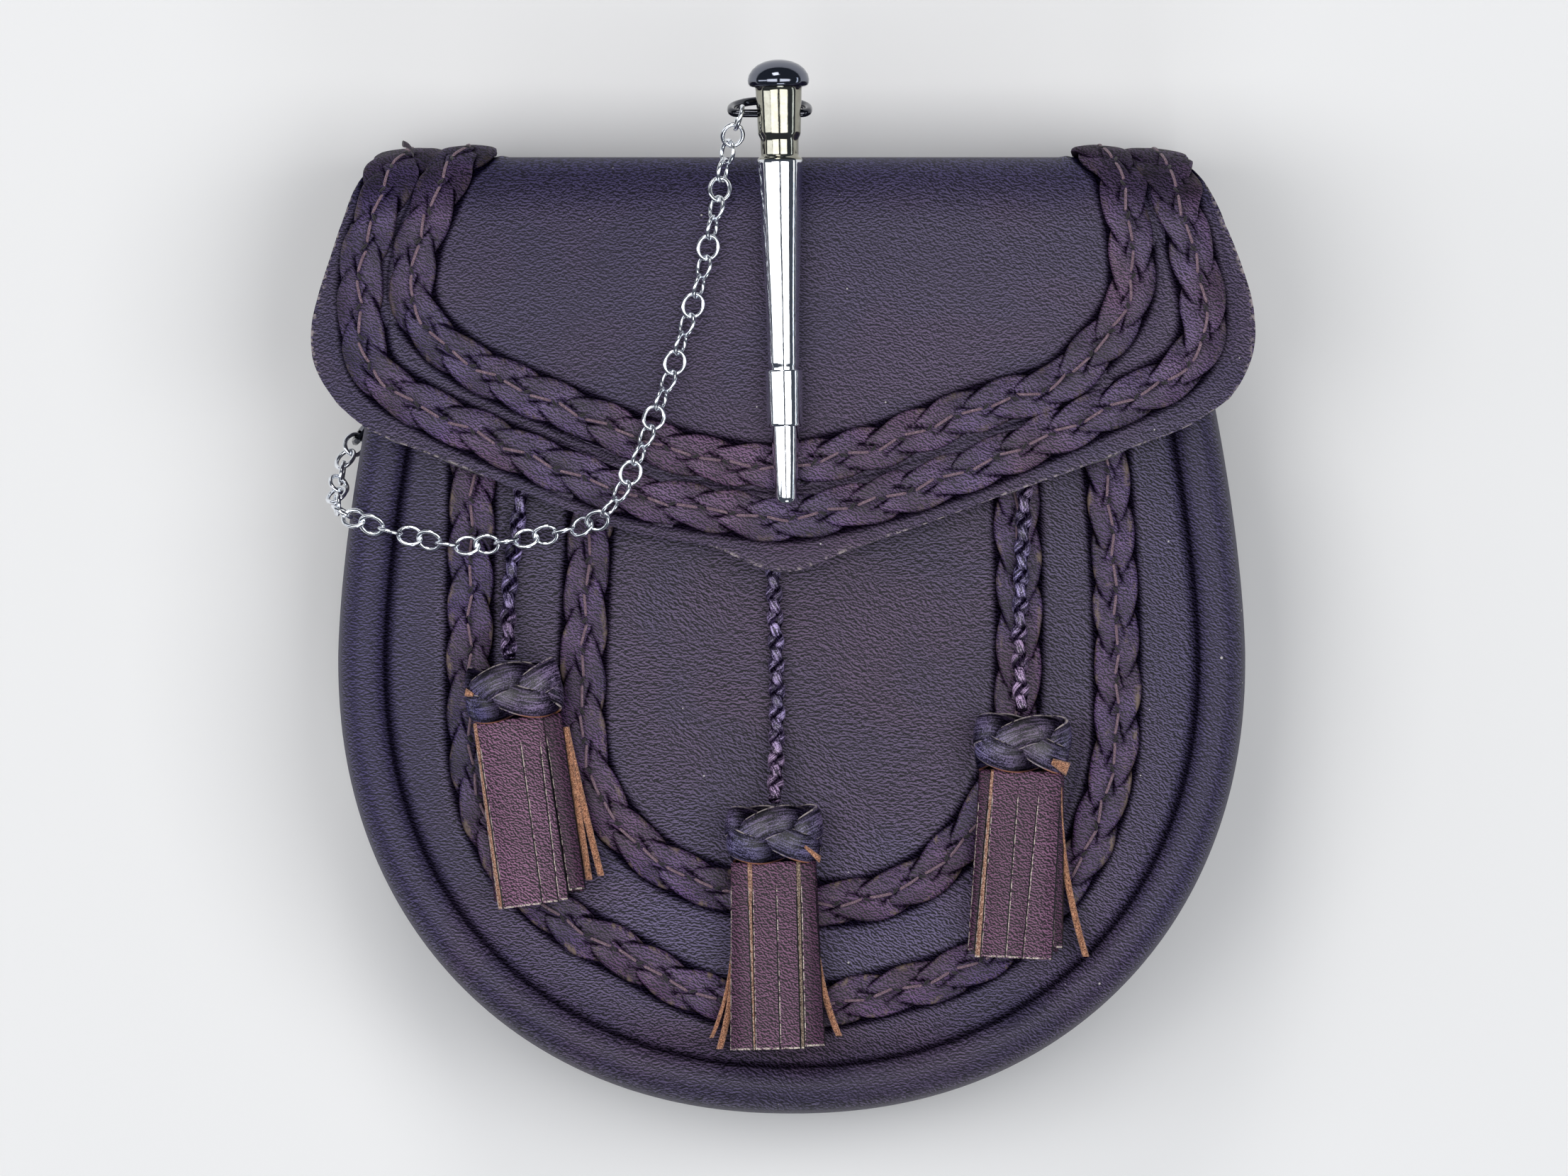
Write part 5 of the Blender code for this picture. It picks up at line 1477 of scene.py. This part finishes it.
def make_skirt(side):
    """A leather roll below the knot, cut into strips whose raw tan edges show."""
    x, y, lean = KNOTS[side]
    turn = tassel_frame(x, y, lean, TASSEL_FLOOR)
    back = turn.inverted()
    half_width, half_depth = SKIRT_HALF
    start = -KNOT_LENGTH / 2 - GAP + 0.5 * MM

    def local_x(px, py):
        return (back @ Vector((*spot(px, py), TASSEL_FLOOR))).x

    def depth(across, low):
        """Local Y of the skirt's outer face above a place across it. Up is negative."""
        share = min(0.985, abs(across) / (half_width + 1.2 * MM))
        return -half_depth * (1 + sqrt(1 - share**2)) + low

    sheets = Parts("edge", "tone", "cut", "crease")
    edges = Parts()
    generator = np.random.default_rng(7 + len(side))
    for left_top, right_top, left_foot, right_foot, drop, tone, kind in STRIPS_PX[side]:
        tops = [local_x(px, SKIRT_TOP_PX[side]) for px in (left_top, right_top + 1)]
        feet = [local_x(px, SKIRT_FOOT_PX[side]) for px in (left_foot, right_foot + 1)]
        length = SKIRT_LENGTH + drop * PX
        low = {"front": 0.0, "tan": 0.1 * MM, "low": 1.1 * MM, "edge": 1.3 * MM}[kind]
        twist = generator.uniform(-0.25, 0.25) * MM
        if kind == "edge":
            rings = []
            for share in np.linspace(0.0, 1.0, 26):
                down = start - SKIRT_HEAD * 0.6 - share * (length - SKIRT_HEAD * 0.6)
                ease = share ** (1.25 + 1.6 * tone)
                middle = (1 - ease) * sum(tops) / 2 + ease * sum(feet) / 2
                half = ((1 - share) * (tops[1] - tops[0]) + share * (feet[1] - feet[0])) / 2
                half = min(half, STRIP_THICK * 0.6)
                high = depth(middle, low) * (1 - 0.30 * ease)
                deep, edge = high + SIDE_STRIP_DEPTH, high + 0.25 * MM
                corners = ((-half, edge), (-half * 0.6, high), (half * 0.6, high), (half, edge), (half, deep),
                           (-half, deep))
                rings.append([turn @ Vector((middle + dx, dy, down)) for dx, dy in corners])
            edges.tube(rings)
            continue
        rows = []
        for share in [*np.linspace(0.0, 1.0, 34)[:-1], 1 - 0.45 * MM / length, 1 - 0.25 * MM / length, 1.0]:
            slit = clamp((share * length - SKIRT_HEAD) / (3 * MM))
            edge_left, edge_right = (
                (1 - share) * top + share * foot + 0.12 * MM * slit * noise.noise(Vector((share * 30, seed, 0.0)))
                for top, foot, seed in zip(tops, feet, (left_top, right_top + 1), strict=True)
            )
            wide = edge_right - edge_left
            line = min(0.15 * MM, wide / 6)
            row = []
            for i, reach in enumerate((0.0, line, line * 1.5, wide * 0.36, wide * 0.5, wide * 0.64, wide - line * 1.9,
                                       wide - line * 1.4, wide)):
                place = edge_left + reach
                curl = 0.22 * MM * slit * (2 * reach / wide - 1) ** 2 + twist * (2 * reach / wide - 1) * share
                row.append(turn @ Vector((place, depth(place, low) + curl, start - share * length)))
                # Painted shade on each strip's right side, in the slit beside the next strip.
                sheets.note(edge=1.0 if kind == "tan" else 0.0, tone=tone, crease=slit if i > 6 else 0.0,
                            cut=1.0 if i < 2 and slit > 0 or share > 1 - 0.3 * MM / length else 0.0)
            rows.append(row)
        sheets.grid(rows)
    # The strips' cut sides take the dark edge, which paints the shade in the gaps between strips.
    piece = sheets.piece(f"skirt_{side}_strips", LEATHER_SKIRT, SUEDE_DARK_AND_GAP_SHADE)
    give_thickness(piece, (0, 0, 1), STRIP_THICK, rim=1, inner=1, bevel=0.0)
    finish_piece(piece, f"skirt_{side}")
    edge_piece = finish_piece(edges.piece(f"skirt_{side}_side_strips", SUEDE))
    return piece, edge_piece, make_back_strips(side, turn, start), make_skirt_core(side, turn, start)


def make_back_strips(side, turn, start):
    """The strips behind, which show only their sides and feet."""
    half_width, half_depth = SKIRT_HALF
    made = Parts("tone")
    for number in range(5):
        rows = []
        for share in np.linspace(0.0, 1.0, 12):
            row = []
            for across in np.linspace(-1.0, 1.0, 4):
                place = (number - 2) * BACK_STRIP_PITCH * (1 + 0.1 * share) + across * BACK_STRIP_HALF
                bow = sqrt(max(0.0, 1 - (place / (half_width + 2.4 * MM)) ** 2))
                down = start - share * (SKIRT_LENGTH - (1.6 + number % 2) * MM)
                row.append(turn @ Vector((place, -half_depth * (1 - 0.85 * bow) - 0.3 * MM, down)))
                made.note(tone=0.9)
            rows.append(row)
        made.grid(rows)
    piece = made.piece(f"skirt_{side}_back_strips", LEATHER_SKIRT)
    give_thickness(piece, (0, 0, 1), STRIP_THICK, bevel=0.0)
    return finish_piece(piece)


def make_skirt_core(side, turn, start):
    """The rolled leather inside the strips, dark between them."""
    rings = []
    for share, size in ((0.0, 0.8), (0.15, 0.86), (0.6, 0.86), (0.93, 0.84), (0.93, 0.01)):
        ring = []
        for c, s in circle(24):
            across = (SKIRT_HALF[0] - 1.3 * MM) * size * c
            deep = (SKIRT_HALF[1] - 1.4 * MM) * size * s - SKIRT_HALF[1]
            ring.append(turn @ Vector((across, deep, start - share * SKIRT_LENGTH)))
        rings.append(ring)
    return finish_piece(Parts().tube(rings).piece(f"skirt_{side}_core", LEATHER_BACK))


def make_tassels():
    for side, start in (("left", 0.5), ("centre", 0.9), ("right", 1.1)):
        cord, route, length = make_cord(side)
        knot = make_knot(side, start)
        skirt = make_skirt(side)


# Metal pieces


def peg_matrix(distance):
    """Local Z up the peg's axis, from a place on it."""
    up = (Vector(PEG_TOP) - Vector(PEG_TIP)).normalized()
    x, y = Vector(PEG_TOP) - up * distance
    side = Vector((up.y, -up.x))
    return Matrix(((side.x, 0, up.x, x), (side.y, 0, up.y, y), (0, -1, 0, PEG_Z), (0, 0, 0, 1)))


def make_peg():
    profile = [(distance, max(radius, 0.01 * MM)) for distance, radius in PEG]
    piece = Parts().tube(turned_rings(profile, PEG_SIDES, peg_matrix(0.0))).piece("pin_turned", CHROME)
    hole = [
        [(RING_X + side * 9 * MM, RING_Y + RING_HOLE * c, PEG_Z + RING_HOLE * s) for c, s in circle(24)]
        for side in (-1, 1)
    ]
    cutter = Parts().tube(hole).piece("ring_hole", CHROME)
    cut = piece.modifiers.new("hole", "BOOLEAN")
    cut.object = cutter
    cut.operation = "DIFFERENCE"
    bpy.context.view_layer.update()
    graph = bpy.context.evaluated_depsgraph_get()
    mesh = bpy.data.meshes.new_from_object(piece.evaluated_get(graph))
    piece.modifiers.clear()
    piece.data = mesh
    bpy.data.objects.remove(cutter)
    mesh.shade_smooth()
    mesh.set_sharp_from_angle(angle=SHARP_ANGLE)
    return finish_piece(piece, "pin")


def make_keeper():
    """The sleeve round the peg, its post and the foot that holds it."""
    made = Parts().tube(turned_rings(KEEPER, PEG_SIDES, peg_matrix(KEEPER_FROM)), closed=True)
    x, y = peg_matrix(KEEPER_FROM + 5.8 * MM).translation.xy
    floor = PANEL_Z + dome(x, y) + GAP
    for (width, length), low, high in (
        (KEEPER_POST, floor + KEEPER_FOOT[2] / 2, PEG_Z - 3.5 * MM),
        (KEEPER_FOOT[:2], floor, floor + KEEPER_FOOT[2]),
    ):
        corners = [(x + sx * width / 2, y + sy * length / 2) for sx, sy in ((-1, -1), (1, -1), (1, 1), (-1, 1))]
        made.tube([[(*corner, z) for corner in corners] for z in (low, high)])
    piece = made.piece("pin_keeper_sleeve", CHROME)
    piece.data.set_sharp_from_angle(angle=SHARP_ANGLE)
    return finish_piece(piece, "pin_keeper")


def wire_rings(route, radius, sides):
    """Rings round a closed route of points that lie in one plane or nearly."""
    count = len(route)
    total = Vector()
    for i in range(count):
        total += (route[i] - route[0]).cross(route[(i + 1) % count] - route[0])
    normal = total.normalized()
    rings = []
    for i in range(count):
        way = (route[(i + 1) % count] - route[i - 1]).normalized()
        side = way.cross(normal).normalized()
        rings.append([route[i] + radius * (side * c + normal * s) for c, s in circle(sides)])
    return rings


def make_ring():
    down_y, down_z = sin(RING_TILT), cos(RING_TILT)
    centre = Vector((RING_X, RING_Y, PEG_Z))
    shape = spline_points(RING_SHAPE, 10, closed=True)
    route = [centre + Vector((1, 0, 0)) * across + Vector((0, -down_y, down_z)) * along for across, along in shape]
    made = Parts().tube(wire_rings(route, RING_WIRE, 16), closed=True)
    return finish_piece(made.piece("head_ring_wire", CHROME_RING), "head_ring")


def chain_frames():
    """The links in order: centre, the way the chain goes and the way the link's plane faces."""
    dense = [Vector(place) for place in spline_points(CHAIN_ROUTE, 40)]
    centres = [dense[0]]
    for place in dense:
        step = place - centres[-1]
        if step.length >= LINK_PITCH:
            centres.append(centres[-1] + step.normalized() * LINK_PITCH)
    frames = []
    facing = Vector((1, 0, 0))
    for i, centre in enumerate(centres):
        way = (centres[min(i + 1, len(centres) - 1)] - centres[max(i - 1, 0)]).normalized()
        facing = (facing - way * facing.dot(way)).normalized()
        roll = 0.0 if i == 0 else radians(90.0) + LINK_TWIST * (i - 1)
        frames.append((centre, way, Matrix.Rotation(roll, 3, way) @ facing))
    return frames


def make_chain():
    """Oval links of round wire, each through the next."""
    made = Parts()
    half_length, half_width = LINK_LENGTH / 2 - LINK_WIRE, LINK_WIDTH / 2 - LINK_WIRE
    for centre, way, facing in chain_frames():
        side = facing.cross(way)
        route = [centre + way * half_length * c + side * half_width * s for c, s in circle(LINK_STEPS)]
        made.tube(wire_rings(route, LINK_WIRE, WIRE_STEPS), closed=True)
    return finish_piece(made.piece("chain_links", CHROME_CHAIN), "chain")


def make_anchor():
    """The hidden eye that holds the chain's last link keeps its shape and takes the head ring's finish."""
    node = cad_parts["chain_anchor"]
    node.data.materials.clear()
    node.data.materials.append(CHROME_RING)


def make_thread_end():
    """A loose end of black thread that stands up from the fold at the left."""
    route = spline_points(np.array([(*spot(px, py), z * MM) for px, py, z in THREAD_END_PX]), 6)
    rings = []
    for i, point in enumerate(route):
        radius = (0.35 + 0.35 * i / (len(route) - 1)) * MM
        rings.append([Vector(point) + radius * Vector((c * 0.4, s, c)) for c, s in circle(8)])
    return finish_piece(Parts().tube(rings).piece("thread_end", THREAD_DARK))


# The stage


def make_camera():
    """Straight above the pouch, far enough back to look flat, as in the photograph."""
    data = bpy.data.cameras.new("camera")
    camera = bpy.data.objects.new("camera", data)
    bpy.context.scene.collection.objects.link(camera)
    data.sensor_width = 36.0
    data.lens = data.sensor_width * CAMERA_DISTANCE / (PHOTO_SIZE[0] * PX)
    data.clip_start = 1.0
    camera.location = (*spot(*(size / 2 for size in PHOTO_SIZE)), FOCUS_Z + CAMERA_DISTANCE)
    bpy.context.scene.camera = camera


def make_floor():
    s = Shader("floor")
    s.set(base_color=(0.95, 0.95, 0.95), roughness=0.75)
    corners = [(x * FLOOR_HALF, y * FLOOR_HALF, 0) for x, y in ((-1, -1), (1, -1), (1, 1), (-1, 1))]
    mesh_piece("floor", corners, [(0, 1, 2, 3)], [s.material], smooth=False)


def soft_light(name, place, target, size, power, colour):
    data = bpy.data.lights.new(name, "AREA")
    data.shape = "RECTANGLE"
    data.size, data.size_y = size
    data.energy = power
    data.color = colour
    lamp = bpy.data.objects.new(name, data)
    lamp.location = place
    lamp.rotation_euler = (Vector(target) - Vector(place)).to_track_quat("-Z", "Y").to_euler()
    lamp.visible_camera = False
    bpy.context.scene.collection.objects.link(lamp)


def make_lights():
    middle = (0, 0, 0.05)
    for x, width in ((-0.58, 0.94), (0.61, 1.0)):
        soft_light("overhead", (x, 0.0, 1.2), (x, 0.0, 0.05), (width, 0.65), 7.2 * width, (1.0, 0.995, 0.985))
    soft_light("key", (-0.25, 1.2, 1.05), middle, (0.5, 0.5), 4.0, (1.0, 0.98, 0.95))
    soft_light("low", (0.2, -1.3, 0.9), middle, (0.6, 0.4), 3.4, (0.93, 0.96, 1.0))
    soft_light("left", (-1.2, 0.02, 0.68), (0, 0.02, 0.05), (0.3, 0.9), 2.0, (0.97, 0.98, 1.0))
    soft_light("right", (1.15, 0.0, 0.32), middle, (0.9, 0.12), 0.9, (0.85, 0.92, 1.0))
    world = bpy.data.worlds.new("studio")
    world.use_nodes = True
    inputs = world.node_tree.nodes["Background"].inputs
    inputs["Color"].default_value = (0.70, 0.80, 1.0, 1.0)
    inputs["Strength"].default_value = 0.10
    bpy.context.scene.world = world
    bpy.context.scene.view_settings.view_transform = "Standard"


make_camera()
make_lights()
make_floor()
make_tassels()
make_front_panel()
make_gusset()
make_back_panel()
make_flap()
make_plaits()
make_seams()
make_belt_loop("left", -LOOP_X)
make_belt_loop("right", LOOP_X)
make_peg()
make_keeper()
make_ring()
make_chain()
make_anchor()
make_thread_end()

bpy.context.view_layer.update()
